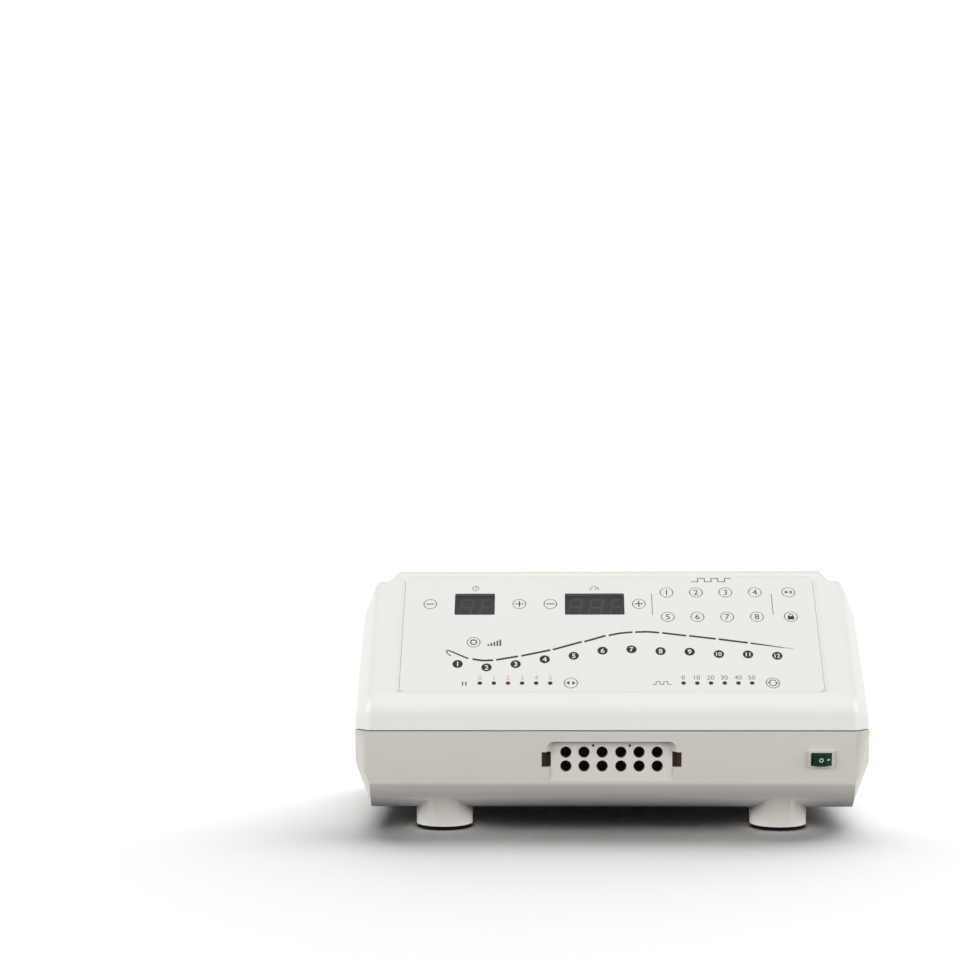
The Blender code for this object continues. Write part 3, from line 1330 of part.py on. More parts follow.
def make_hoses():
    for name, row in (("upper_tubes", PORT_UPPER_ROW), ("lower_tubes", PORT_LOWER_ROW)):
        frame = FRONT_FRAME @ Matrix.Translation((0, row, 0))
        tubes = plate(
            name, [ribbon_outline()], -SOCKET_BACK - CLEARANCE, CLEARANCE - DISTRIBUTOR_FRONT, frame
        )
        paint(tubes, CLEAR_GREY)
    hose = bpy.data.curves.new("supply_hose", "CURVE")
    hose.dimensions = "3D"
    hose.bevel_depth = HOSE_DIAMETER / 2
    hose.bevel_resolution = 2
    hose.use_fill_caps = True
    hose.resolution_u = HOSE_STEPS
    spline = hose.splines.new("BEZIER")
    spline.bezier_points.add(1)
    start_place = COMPRESSOR_PLACE + COMPRESSOR_WIDTH / 2 + 2 * CLEARANCE
    leave = Vector((HOSE_HANDLE, 0, 0))
    arrive = Vector((0, HOSE_HANDLE, 0))
    start, end = spline.bezier_points
    start.co = at(start_place, COMPRESSOR_DEPTH, HOSE_HEIGHT)
    start.handle_left = start.co - leave
    start.handle_right = start.co + leave
    end.co = at(HOSE_ENTRY_PLACE, DISTRIBUTOR_BACK + 2 * CLEARANCE, HOSE_HEIGHT)
    end.handle_left = end.co + arrive
    end.handle_right = end.co - arrive
    paint(add_piece("supply_hose", hose), SOFT_BLACK)


make_upper_casing()
make_lower_casing()
make_control_panel()
make_keys()
make_displays()
make_lights()
make_display_board()
make_air_socket()
make_power_switch()
make_feet()
make_screws()
make_mains_inlet()
make_transformer()
make_main_board()
make_compressor()
make_distributor()
make_hoses()
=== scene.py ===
# %% [markdown]
# # A compression therapy pump
# The unit is a pale plastic casing in two halves. Its sloping face carries round keys, two
# displays and a curve of numbered lights, and the hose socket sits in a pocket on the front.
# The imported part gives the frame: its solids keep their places, and finer pieces stand for them.

import json
import math

import bmesh
import bpy
from mathutils import Matrix, Vector

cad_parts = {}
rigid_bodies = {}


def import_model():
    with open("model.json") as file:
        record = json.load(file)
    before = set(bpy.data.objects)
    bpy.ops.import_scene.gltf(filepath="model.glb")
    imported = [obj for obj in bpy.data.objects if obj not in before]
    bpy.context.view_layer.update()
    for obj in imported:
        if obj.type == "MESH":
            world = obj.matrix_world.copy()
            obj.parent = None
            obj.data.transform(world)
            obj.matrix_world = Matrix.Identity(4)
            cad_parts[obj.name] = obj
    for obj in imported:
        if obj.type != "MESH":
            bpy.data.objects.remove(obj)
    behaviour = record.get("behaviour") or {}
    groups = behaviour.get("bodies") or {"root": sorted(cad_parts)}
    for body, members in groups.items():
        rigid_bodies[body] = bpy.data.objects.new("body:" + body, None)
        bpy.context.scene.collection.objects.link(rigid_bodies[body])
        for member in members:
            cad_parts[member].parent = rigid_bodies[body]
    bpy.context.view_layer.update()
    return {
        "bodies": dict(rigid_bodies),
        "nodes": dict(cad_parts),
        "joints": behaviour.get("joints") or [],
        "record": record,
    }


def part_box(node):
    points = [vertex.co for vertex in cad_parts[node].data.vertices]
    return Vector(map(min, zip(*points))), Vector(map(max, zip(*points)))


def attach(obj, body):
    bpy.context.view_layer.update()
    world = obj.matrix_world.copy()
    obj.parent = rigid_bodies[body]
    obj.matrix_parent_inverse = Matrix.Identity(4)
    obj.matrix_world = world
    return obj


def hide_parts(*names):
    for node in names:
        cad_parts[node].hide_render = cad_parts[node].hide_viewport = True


MM = 0.001

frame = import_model()


def mm(*values):
    """Lengths in metres, given in millimetres."""
    return tuple(value * MM for value in values)


def in_scene(name, data):
    made = bpy.data.objects.new(name, data)
    bpy.context.scene.collection.objects.link(made)
    return made


print("nodes in the frame:", len(frame["nodes"]))

# %% [markdown]
# ## Where the photographer stood
# A long lens flattens the unit a little. The camera stands to the left of its middle and looks
# past it, so that the unit falls low and right in the picture without shifting the lens.

# %% The camera
PIXELS = 960
SENSOR_MM = 36.0
FRONT_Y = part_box("upper_casing")[0][1]
CAMERA_PLACE = Vector((-48.0, -1853.8, 333.8)) * MM + Vector((0, FRONT_Y, 0))
FOCAL_PIXELS = 2180.0
CAMERA_YAW, CAMERA_PITCH, CAMERA_ROLL = 0.03408, 0.01719, -0.00412

camera_data = bpy.data.cameras.new("camera")
camera_data.sensor_width = SENSOR_MM
camera_data.lens = FOCAL_PIXELS / PIXELS * SENSOR_MM
camera = in_scene("camera", camera_data)
camera.matrix_world = (
    Matrix.Translation(CAMERA_PLACE)
    @ Matrix.Rotation(CAMERA_YAW, 4, "Z")
    @ Matrix.Rotation(math.radians(90) - CAMERA_PITCH, 4, "X")
    @ Matrix.Rotation(CAMERA_ROLL, 4, "Z")
)
bpy.context.scene.camera = camera
print("lens in mm:", round(camera_data.lens, 1))

# %% [markdown]
# ## Studio
# The unit stands on a white sweep. To a camera ray the floor is almost white and keeps the soft
# shadow, while to the light that bounces off it it is greyer, so the underside stays dark. Two
# lamps at the sides and a dimmer one at the rear light all but the floor. A wide one from behind
# lights the floor alone, so that the sweep stays white and the shadow falls to the front.

# %% The floor
FLOOR_REACH = 6.0
FLOOR_WHITE = 1.15
FLOOR_BOUNCE = 0.1


def feed(tree, node, inputs):
    """Sets inputs of a node, each to a value or to the socket that feeds it."""
    for socket, given in inputs.items():
        if isinstance(given, bpy.types.NodeSocket):
            tree.links.new(given, node.inputs[socket])
        else:
            node.inputs[socket].default_value = given
    return node


def add_node(tree, kind, inputs, **settings):
    node = tree.nodes.new(kind)
    for setting, value in settings.items():
        setattr(node, setting, value)
    return feed(tree, node, inputs)


def mixed_by_camera_ray(tree, seen, bounced):
    """One grey for camera, glossy and transmission rays, and another for the rest."""
    path = tree.nodes.new("ShaderNodeLightPath").outputs
    share = path["Is Camera Ray"]
    for ray in ("Is Glossy Ray", "Is Transmission Ray"):
        either = add_node(tree, "ShaderNodeMath", {0: share, 1: path[ray]}, operation="MAXIMUM")
        share = either.outputs[0]
    greys = {"A": (bounced, bounced, bounced, 1), "B": (seen, seen, seen, 1)}
    mix = add_node(tree, "ShaderNodeMix", {"Factor": share, **greys}, data_type="RGBA")
    return mix.outputs["Result"]


floor_mesh = bpy.data.meshes.new("floor")
grid = bmesh.new()
bmesh.ops.create_grid(grid, x_segments=2, y_segments=2, size=FLOOR_REACH)
grid.to_mesh(floor_mesh)
grid.free()
floor = in_scene("floor", floor_mesh)
floor_material = bpy.data.materials.new("sweep")
floor_material.use_nodes = True
sweep = floor_material.node_tree
sweep_colour = mixed_by_camera_ray(sweep, FLOOR_WHITE, FLOOR_BOUNCE)
matt = {"Base Color": sweep_colour, "Roughness": 0.9, "Specular IOR Level": 0.0}
feed(sweep, sweep.nodes["Principled BSDF"], matt)
floor_mesh.materials.append(floor_material)
print("floor reaches", FLOOR_REACH, "m each way")

# %% The world and the lamps
WORLD_LIGHT = 0.1
# Where each lamp shines from, its strength, its width in degrees, and how it takes the floor:
# an excluded floor leaves it the rest, and an included one is all that it lights.
LAMPS = {
    "left": ((-1.0, -0.5, 0.25), 3.2, 45, "EXCLUDE"),
    "right": ((1.0, -0.5, 0.25), 3.2, 45, "EXCLUDE"),
    "rear": ((0.0, 1.0, 0.15), 1.8, 45, "EXCLUDE"),
    "behind": ((0.2, 0.85, 0.8), 3.7, 70, "INCLUDE"),
}

world = bpy.data.worlds.new("studio")
world.use_nodes = True
sky = mixed_by_camera_ray(world.node_tree, 1.0, WORLD_LIGHT)
feed(world.node_tree, world.node_tree.nodes["Background"], {"Color": sky})
bpy.context.scene.world = world
bpy.context.scene.view_settings.view_transform = "Standard"
for name, (place, strength, width, floor_state) in LAMPS.items():
    data = bpy.data.lights.new(name, "SUN")
    data.energy = strength
    data.angle = math.radians(width)
    light = in_scene(name, data)
    light.rotation_euler = (-Vector(place)).to_track_quat("-Z", "Y").to_euler()
    lit = bpy.data.collections.new(f"lit_by_{name}")
    lit.objects.link(floor)
    lit.collection_objects[0].light_linking.link_state = floor_state
    light.light_linking.receiver_collection = lit
print("lamps:", len(bpy.data.lights))

# %% [markdown]
# ## Finishes
# Moulded plastic is never one flat colour: it has a fine spark-eroded grain, and the pigment
# drifts a little over a hand's breadth. Both come from noise in object space, packed in one
# node group, so that each plastic only states its own scale and strength.

# %% Node groups
FLOAT, COLOUR = "NodeSocketFloat", "NodeSocketColor"


def new_group(name, inputs, outputs):
    """A shader node group with named sockets, the sockets that enter it and its last node."""
    group = bpy.data.node_groups.new(name, "ShaderNodeTree")
    for in_out, sockets in (("INPUT", inputs), ("OUTPUT", outputs)):
        for socket_name, kind in sockets.items():
            group.interface.new_socket(socket_name, in_out=in_out, socket_type=kind)
    entering = group.nodes.new("NodeGroupInput").outputs
    return group, entering, group.nodes.new("NodeGroupOutput")


def noise_at(group, scale, detail, stretch=None):
    """Noise in object space. A stretch squeezes it along an axis."""
    place = group.nodes.new("ShaderNodeTexCoord").outputs["Object"]
    if stretch:
        mapping = add_node(group, "ShaderNodeMapping", {"Vector": place, "Scale": stretch})
        place = mapping.outputs["Vector"]
    inputs = {"Vector": place, "Scale": scale, "Detail": detail}
    return add_node(group, "ShaderNodeTexNoise", inputs).outputs["Fac"]


def ranged(group, value, low, high):
    """Maps the middle of a noise value to a range given by two sockets or numbers."""
    inputs = {"Value": value, "From Min": 0.3, "From Max": 0.7, "To Min": low, "To Max": high}
    return add_node(group, "ShaderNodeMapRange", inputs).outputs["Result"]


surface_group, given, surface_end = new_group(
    "varied_surface",
    {
        "Light Colour": COLOUR,
        "Dark Colour": COLOUR,
        "Low Roughness": FLOAT,
        "High Roughness": FLOAT,
        "Drift Scale": FLOAT,
        "Grain Scale": FLOAT,
    },
    {"Colour": COLOUR, "Roughness": FLOAT, "Grain": FLOAT},
)
drift = noise_at(surface_group, given["Drift Scale"], 3.0)
grain = noise_at(surface_group, given["Grain Scale"], 2.0)
share = ranged(surface_group, drift, 0.0, 1.0)
colours = {"Factor": share, "A": given["Dark Colour"], "B": given["Light Colour"]}
mix = add_node(surface_group, "ShaderNodeMix", colours, data_type="RGBA")
roughness = ranged(surface_group, drift, given["Low Roughness"], given["High Roughness"])
results = {"Colour": mix.outputs["Result"], "Roughness": roughness, "Grain": grain}
feed(surface_group, surface_end, results)

stroke_group, given, stroke_end = new_group("drawn_lines", {"Line Scale": FLOAT}, {"Lines": FLOAT})
lines = noise_at(stroke_group, given["Line Scale"], 2.0, stretch=(1.0, 40.0, 40.0))
feed(stroke_group, stroke_end, {"Lines": lines})
print("node groups:", [group.name for group in bpy.data.node_groups])

# %% Materials
# Each finish: its colour on screen, its roughness, the scale and depth of its grain and of its
# drift, and then, where they aren't 0, 0 and 0.5, its metal, its drawn lines and its sheen.
FINISHES = {
    "casing_white": ((241, 239, 234), (0.36, 0.44), (1800, 0.006), (9, 0.985)),
    "casing_grey": ((224, 219, 212), (0.38, 0.46), (1800, 0.006), (9, 0.975)),
    "socket_grey": ((222, 217, 211), (0.4, 0.48), (1800, 0.006), (20, 0.97)),
    # The next finish is painted shade: a brownish dark that stands for the shade inside the
    # socket's bores and slots.
    "port_painted_shade": ((100, 84, 72), (0.7, 0.85), (1500, 0.004), (60, 0.85), 0, 0, 0.2),
    "overlay_white": ((239, 238, 235), (0.3, 0.36), (900, 0.003), (8, 0.988)),
    "key_white": ((238, 238, 236), (0.26, 0.34), (1200, 0.003), (40, 0.98)),
    "digit_black": ((62, 60, 64), (0.45, 0.55), (2400, 0.01), (14, 0.965)),
    "segment_grey": ((150, 140, 146), (0.4, 0.5), (2400, 0.004), (14, 0.965)),
    "lens_black": ((24, 22, 22), (0.12, 0.2), (1500, 0.002), (60, 0.8)),
    "lens_smoke": ((38, 30, 28), (0.1, 0.18), (1500, 0.002), (60, 0.8)),
    "lens_red": ((96, 34, 38), (0.1, 0.18), (1500, 0.002), (60, 0.8)),
    "ink_dark": ((40, 38, 40), (0.5, 0.6), (3000, 0.004), (120, 0.85)),
    "ink_grey": ((100, 98, 100), (0.5, 0.6), (3000, 0.004), (120, 0.9)),
    "ink_light": ((165, 163, 165), (0.5, 0.6), (3000, 0.004), (120, 0.92)),
    "ink_white": ((236, 236, 234), (0.5, 0.6), (3000, 0.004), (120, 0.95)),
    "rubber_black": ((8, 8, 8), (0.7, 0.85), (1400, 0.03), (60, 0.8), 0, 0, 0.1),
    "switch_beige": ((222, 218, 206), (0.34, 0.42), (1600, 0.006), (80, 0.96)),
    "rocker_green": ((12, 46, 33), (0.3, 0.4), (1600, 0.004), (90, 0.85), 0, 0, 0.15),
    "inlet_black": ((30, 30, 31), (0.4, 0.5), (1400, 0.02), (50, 0.85)),
    "board_green": ((30, 104, 52), (0.3, 0.4), (700, 0.01), (160, 0.7)),
    "felt": ((200, 198, 190), (0.85, 0.95), (1500, 0.3), (90, 0.85)),
    "rotor_cream": ((224, 219, 205), (0.3, 0.4), (1600, 0.006), (60, 0.94)),
    "steel": ((188, 188, 190), (0.3, 0.42), (900, 0.02), (60, 0.85), 1, 50),
    "core_steel": ((96, 96, 100), (0.4, 0.55), (900, 0.05), (60, 0.8), 1, 120),
    "cast_metal": ((196, 197, 200), (0.42, 0.55), (420, 0.06), (40, 0.85), 1),
    "brass": ((214, 184, 112), (0.25, 0.35), (900, 0.02), (80, 0.85), 1, 60),
    "copper": ((176, 92, 52), (0.3, 0.4), (900, 0.05), (60, 0.8), 1, 160),
    "hose_black": ((34, 34, 35), (0.5, 0.62), (1400, 0.02), (40, 0.85)),
    "tube_clear": ((198, 202, 202), (0.2, 0.3), (900, 0.01), (40, 0.95)),
    "window_smoke": ((70, 68, 72), (0.08, 0.12), (900, 0.001), (30, 0.95)),
}
WINDOW_ALPHA = 0.42


def srgb(red, green, blue):
    """A colour as it is seen on screen, in the linear values that a shader needs."""
    return tuple(
        value / 12.92 if value <= 0.04045 else ((value + 0.055) / 1.055) ** 2.4
        for value in (red / 255, green / 255, blue / 255)
    )


def finish(name, colour, roughness, grain, drift, metallic=0, lines=0, sheen=0.5):
    """A material whose colour, roughness and grain all vary over the surface."""
    material = bpy.data.materials.new(name)
    material.use_nodes = True
    tree = material.node_tree
    light = srgb(*colour)
    varied = {
        "Light Colour": (*light, 1),
        "Dark Colour": (*(value * drift[1] for value in light), 1),
        "Low Roughness": roughness[0],
        "High Roughness": roughness[1],
        "Drift Scale": drift[0],
        "Grain Scale": grain[0],
    }
    surface = add_node(tree, "ShaderNodeGroup", varied, node_tree=surface_group).outputs
    height = surface["Grain"]
    if lines:
        drawn = add_node(tree, "ShaderNodeGroup", {"Line Scale": lines}, node_tree=stroke_group)
        height = drawn.outputs["Lines"]
    relief = {"Distance": MM, "Strength": grain[1], "Height": height}
    shown = {
        "Base Color": surface["Colour"],
        "Roughness": surface["Roughness"],
        "Normal": add_node(tree, "ShaderNodeBump", relief).outputs["Normal"],
        "Metallic": metallic,
        "Specular IOR Level": sheen,
    }
    feed(tree, tree.nodes["Principled BSDF"], shown)
    return material


MATERIALS = {name: finish(name, *look) for name, look in FINISHES.items()}
window_shader = MATERIALS["window_smoke"].node_tree.nodes["Principled BSDF"]
window_shader.inputs["Alpha"].default_value = WINDOW_ALPHA
print("materials:", len(MATERIALS))

# %% [markdown]
# ## Frames and outlines
# The key panel slopes and the front of the lower half leans, so flat pieces are drawn in the
# plane of their own face and then stood up: x across, y up the face, z straight out of it.

# %% Places on the unit
BODY_DEPTH, HALF_WIDTH = mm(290.0, 220.0)
PANEL_SLOPE, FRONT_LEAN, RIGHT_ANGLE = math.radians(44.0), math.radians(9.6), math.radians(90)
BAND_HEIGHT, PANEL_START, SEAM_HEIGHT = mm(112.5, 11.8, 88.0)
SWITCH_PLACE, SWITCH_HEIGHT = mm(178.0, 63.7)
INLET_PLACE, INLET_HEIGHT = mm(150.0, 55.0)


def at(across, depth, height):
    return Vector((across, FRONT_Y + depth, height))


def front_setback(height):
    """How far back the front of the lower half leans at a height."""
    return (SEAM_HEIGHT - height) * math.tan(FRONT_LEAN)


def upright(place, lean=0.0, turn=0.0):
    """The frame of a face that stands up, which may lean back and turn about its height."""
    stood = Matrix.Rotation(lean + RIGHT_ANGLE, 4, "X")
    return Matrix.Translation(place) @ Matrix.Rotation(turn, 4, "Z") @ stood


PANEL_FRAME = (
    Matrix.Translation((0, FRONT_Y, BAND_HEIGHT))
    @ Matrix.Rotation(PANEL_SLOPE, 4, "X")
    @ Matrix.Translation((0, PANEL_START, 0))
)
FRONT_FRAME = upright(at(0, 0, 0))
VENT_FRAME = upright(at(0, 0, 0), turn=math.pi)
SWITCH_FRAME = upright(at(SWITCH_PLACE, front_setback(SWITCH_HEIGHT), SWITCH_HEIGHT), FRONT_LEAN)
INLET_FRAME = upright(at(INLET_PLACE, BODY_DEPTH, INLET_HEIGHT), turn=math.pi)
SIDE_FRAME = Matrix.Translation((0, FRONT_Y, 0)) @ Matrix(
    ((0, 0, 1, 0), (1, 0, 0, 0), (0, 1, 0, 0), (0, 0, 0, 1))
)
print("front of the unit at y =", round(FRONT_Y, 4))

# %% Outlines with rounded corners


def corner_arc(before, corner, after, radius, steps):
    corner = Vector(corner)
    if radius == 0:
        return [corner]
    arrive = (Vector(before) - corner).normalized()
    leave = (Vector(after) - corner).normalized()
    half = arrive.angle(leave) / 2
    centre = corner + (arrive + leave).normalized() * (radius / math.sin(half))
    spoke = corner + arrive * (radius / math.tan(half)) - centre
    turn = arrive.y * leave.x - arrive.x * leave.y
    sweep = math.copysign(math.pi - 2 * half, turn)
    return [centre + Matrix.Rotation(sweep * step / steps, 2) @ spoke for step in range(steps + 1)]


def rounded_line(corners, radii, steps):
    points = [Vector(corners[0])]
    for index, radius in enumerate(radii, start=1):
        points += corner_arc(*corners[index - 1 : index + 2], radius, steps)
    return points + [Vector(corners[-1])]


def rounded_loop(corners, radii, steps):
    points = []
    for index, radius in enumerate(radii):
        after = corners[(index + 1) % len(corners)]
        points += corner_arc(corners[index - 1], corners[index], after, radius, steps)
    return points


def rectangle(width, height, radius=0.0, middle=(0, 0), steps=8):
    across, up = middle
    corners = [
        (across + sign_x * width / 2, up + sign_y * height / 2)
        for sign_x, sign_y in ((-1, -1), (1, -1), (1, 1), (-1, 1))
    ]
    return rounded_loop(corners, [radius] * 4, steps)


def circle(radius, middle=(0, 0), steps=48):
    return [
        Vector(middle) + Matrix.Rotation(math.tau * step / steps, 2) @ Vector((radius, 0))
        for step in range(steps)
    ]


print("a rounded rectangle has", len(rectangle(1, 1, 0.1)), "points")

# %% Plates, rods and turned pieces
WELD = 0.002 * MM
SMOOTH_BELOW = math.radians(32)


def finished_object(name, mesh, frame=Matrix.Identity(4)):
    """Turns a bmesh into an object whose curved sides are smooth and whose edges are crisp."""
    bmesh.ops.recalc_face_normals(mesh, faces=mesh.faces)
    data = bpy.data.meshes.new(name)
    mesh.to_mesh(data)
    mesh.free()
    data.transform(frame)
    data.shade_smooth()
    data.set_sharp_from_angle(angle=SMOOTH_BELOW)
    return in_scene(name, data)


def plate(name, outlines, top, bottom, frame=Matrix.Identity(4)):
    """A flat piece between two heights of a frame. Outlines after the first are holes."""
    curve = bpy.data.curves.new(name, "CURVE")
    curve.dimensions = "2D"
    curve.fill_mode = "BOTH"
    curve.extrude = (top - bottom) / 2
    for outline in outlines:
        spline = curve.splines.new("POLY")
        spline.points.add(len(outline) - 1)
        for point, place in zip(spline.points, outline):
            point.co = (*place, 0, 1)
        spline.use_cyclic_u = True
    drawn = bpy.data.objects.new(name, curve)
    mesh = bmesh.new()
    mesh.from_mesh(bpy.data.meshes.new_from_object(drawn))
    bpy.data.objects.remove(drawn)
    bmesh.ops.remove_doubles(mesh, verts=mesh.verts, dist=WELD)
    return finished_object(name, mesh, frame @ Matrix.Translation((0, 0, (top + bottom) / 2)))


def rod(name, diameter, length, start, steps, frame=Matrix.Identity(4)):
    mesh = bmesh.new()
    bmesh.ops.create_cone(
        mesh,
        cap_ends=True,
        segments=steps,
        radius1=diameter / 2,
        radius2=diameter / 2,
        depth=length,
        matrix=Matrix.Translation((0, 0, length / 2)),
    )
    return finished_object(name, mesh, frame @ Matrix.Translation(start))


def box(name, size, middle, frame=Matrix.Identity(4)):
    mesh = bmesh.new()
    bmesh.ops.create_cube(mesh, size=1, matrix=Matrix.Diagonal((*size, 1)))
    return finished_object(name, mesh, frame @ Matrix.Translation(middle))


def turned(name, profile, steps, frame=Matrix.Identity(4)):
    """A turned piece about z. The profile runs down its outer side, from axis to axis."""
    mesh = bmesh.new()
    points = [mesh.verts.new((radius, 0, height)) for radius, height in profile]
    edges = [mesh.edges.new(pair) for pair in zip(points, points[1:])]
    bmesh.ops.spin(
        mesh,
        geom=points + edges,
        axis=(0, 0, 1),
        cent=(0, 0, 0),
        steps=steps,
        angle=math.tau,
        use_duplicate=False,
    )
    bmesh.ops.remove_doubles(mesh, verts=mesh.verts, dist=WELD)
    bmesh.ops.dissolve_degenerate(mesh, dist=WELD, edges=mesh.edges)
    return finished_object(name, mesh, frame)


def settle(piece):
    """Applies an object's modifiers to its mesh."""
    graph = bpy.context.evaluated_depsgraph_get()
    graph.update()
    data = bpy.data.meshes.new_from_object(piece.evaluated_get(graph))
    piece.modifiers.clear()
    piece.data = data
    return piece


def combined(piece, shapes, operation):
    """Joins shapes to a piece, or cuts them out of it, and then clears them away."""
    for shape in shapes:
        modifier = piece.modifiers.new(shape.name, "BOOLEAN")
        modifier.operation = operation
        modifier.object = shape
        modifier.solver = "EXACT"
    settle(piece)
    for shape in shapes:
        bpy.data.objects.remove(shape)
    return piece


def crisp(piece):
    """Keeps the flats flat and shades only shallow edges as curves."""
    piece.data.shade_smooth()
    piece.data.set_sharp_from_angle(angle=SMOOTH_BELOW)
    weighted = piece.modifiers.new("Flat faces", "WEIGHTED_NORMAL")
    weighted.keep_sharp = True
    return piece


def softened(piece, width, segments=2, angle=50):
    """Rounds the sharp edges that a mould leaves, then keeps the flats flat."""
    bevel = piece.modifiers.new("Mould radius", "BEVEL")
    bevel.width = width
    bevel.segments = segments
    bevel.limit_method = "ANGLE"
    bevel.angle_limit = math.radians(angle)
    settle(piece)
    return crisp(piece)


def dress(piece, look, nodes=(), body="casing"):
    """Gives a piece its finish, the body that it moves with and the solids that it stands for."""
    piece.data.materials.clear()
    piece.data.materials.append(MATERIALS[look])
    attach(piece, body)
    if nodes:
        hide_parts(*nodes)


print("helpers ready")

# %% [markdown]
# ## The casing halves
# Each half is a thin shell. Its skin is lofted from three side profiles: down the middle, along
# the shoulder edge and on the flat side. In between, columns blend from one profile to the next,
# so that the raised top falls to the shoulder and the corner turns to the side in one surface.
# The curve under the front is flattened a little where it starts, which spreads its shading.

# %% A shell from three profiles
WALL = 3.0 * MM
GAP = 0.3 * MM
OVERRUN = 4.0 * MM
CORNER_CUT = 12.5 * MM
FRONT_HALF = HALF_WIDTH - CORNER_CUT
BOTTOM_HEIGHT = 17.6 * MM
SEAM_GAP = 1.0 * MM


def smooth_step(share):
    return share * share * (3 - 2 * share)


def casing_shell(name, middle, edge, side, columns_at):
    mesh = bmesh.new()
    rows = []
    for index, (centre_place, edge_place, side_place) in enumerate(zip(middle, edge, side)):
        row = []
        for across, rise_share, side_share in columns_at(index):
            place = edge_place + (centre_place - edge_place) * rise_share
            place = place + (side_place - edge_place) * side_share
            row.append(mesh.verts.new(at(across, place.x, place.y)))
        rows.append(row)
    for lower, upper in zip(rows, rows[1:]):
        for left in range(len(lower) - 1):
            mesh.faces.new((lower[left], lower[left + 1], upper[left + 1], upper[left]))
    mesh.faces.new([row[-1] for row in rows])
    shell = finished_object(name, mesh)
    mirror = shell.modifiers.new("Other half", "MIRROR")
    mirror.merge_threshold = WELD
    wall = shell.modifiers.new("Wall", "SOLIDIFY")
    wall.thickness = WALL
    wall.offset = -1
    wall.use_even_offset = True
    return settle(shell)


def trimmer(name, middle_height):
    size = (2 * HALF_WIDTH + OVERRUN, BODY_DEPTH + OVERRUN, 2 * OVERRUN)
    return box(name, size, at(0, BODY_DEPTH / 2, middle_height))


# %% The upper half's skin
CREST_HEIGHT, REAR_TOP = mm(217.8, 205.2)
CREST_DEPTH = (CREST_HEIGHT - BAND_HEIGHT) / math.tan(PANEL_SLOPE)
SHOULDER_DROP, WALL_DROP = mm(8.5, 32.5)
UPPER_RADII, SIDE_RADII = mm(26.0, 8.0, 20.0), mm(12.0, 12.0, 12.0)
SIDE_BAND, SIDE_CREST_DEPTH = mm(100.0, 100.0)
FLANK_START, FLANK_END = mm(187.0, 198.0)
FLANK_STEPS, EDGE_STEPS, CORNER_STEPS = 10, 7, 12
EDGE_START, EDGE_SOFT, EDGE_CRISP = 0.6, 0.8, 0.35
upper_base = SEAM_HEIGHT + SEAM_GAP / 2
upper_rim = upper_base - OVERRUN


def upper_profile(drop, depth_cut=0, radii=UPPER_RADII, band=BAND_HEIGHT, crest=None):
    crest_place = crest or (CREST_DEPTH - drop / math.tan(PANEL_SLOPE), CREST_HEIGHT - drop)
    corners = [
        (depth_cut, upper_rim),
        (depth_cut, band),
        crest_place,
        (BODY_DEPTH - depth_cut, REAR_TOP - drop),
        (BODY_DEPTH - depth_cut, upper_rim),
    ]
    return rounded_line(corners, radii, CORNER_STEPS)


side_drop = SHOULDER_DROP + WALL_DROP
side_crest = (SIDE_CREST_DEPTH, CREST_HEIGHT - side_drop)
upper_profiles = (
    upper_profile(0),
    upper_profile(SHOULDER_DROP),
    upper_profile(side_drop, CORNER_CUT, SIDE_RADII, SIDE_BAND, side_crest),
)
last_row = len(upper_profiles[0]) - 1


def upper_columns(index):
    columns = [(0, 1, 0)]
    for step in range(FLANK_STEPS + 1):
        share = step / FLANK_STEPS
        across = FLANK_START + (FLANK_END - FLANK_START) * share
        columns.append((across, 1 - smooth_step(share), 0))
    soft = EDGE_CRISP if index in (0, last_row) else EDGE_SOFT
    corners = [(-EDGE_START, 0), (0, 0), (1, 1), (1, 1 + EDGE_START)]
    for across_share, side_share in rounded_line(corners, [soft, soft], EDGE_STEPS):
        columns.append((FRONT_HALF + CORNER_CUT * across_share, 0, side_share))
    return columns


upper_casing = casing_shell("upper_half", *upper_profiles, upper_columns)
print("upper skin faces:", len(upper_casing.data.polygons))

# %% The upper half's ledge, vents and recess
PANEL_WIDTH, PANEL_LENGTH, PANEL_THICKNESS, PANEL_RADIUS = mm(363.4, 131.386, 3.0, 5.0)
LEDGE_OUT, LEDGE_IN, LEDGE_TOP, LEDGE_BOTTOM = mm(5, -2, -1.5, -9.0)
VENT_COUNT = 9
VENT_WIDTH, VENT_TALL, VENT_RADIUS, VENT_HEIGHT = mm(4.0, 40.0, 1.9, 135.0)
VENT_MIDDLE, VENT_PITCH = mm(-90.0, 11.0)


def panel_outline(margin):
    size = (PANEL_WIDTH + 2 * margin, PANEL_LENGTH + 2 * margin)
    return rectangle(*size, PANEL_RADIUS + margin, (0, PANEL_LENGTH / 2))


ledge_outlines = [panel_outline(LEDGE_OUT), panel_outline(LEDGE_IN)]
ledge = plate("ledge", ledge_outlines, LEDGE_TOP, LEDGE_BOTTOM, PANEL_FRAME)
combined(upper_casing, [ledge], "UNION")
openings = [trimmer("below_seam", upper_base - OVERRUN)]
vent_top, vent_bottom = BODY_DEPTH + OVERRUN, BODY_DEPTH - WALL - OVERRUN
for number in range(VENT_COUNT):
    across = VENT_MIDDLE + (number - (VENT_COUNT - 1) / 2) * VENT_PITCH
    vent = rectangle(VENT_WIDTH, VENT_TALL, VENT_RADIUS, (-across, VENT_HEIGHT))
    openings.append(plate(f"vent_{number}", [vent], vent_top, vent_bottom, VENT_FRAME))
combined(upper_casing, openings, "DIFFERENCE")
softened(upper_casing, 0.35 * MM)
recess = plate("recess", [panel_outline(GAP)], OVERRUN, -PANEL_THICKNESS - GAP, PANEL_FRAME)
combined(upper_casing, [recess], "DIFFERENCE")
dress(upper_casing, "casing_white", ["upper_casing"])
print("upper half faces:", len(upper_casing.data.polygons))

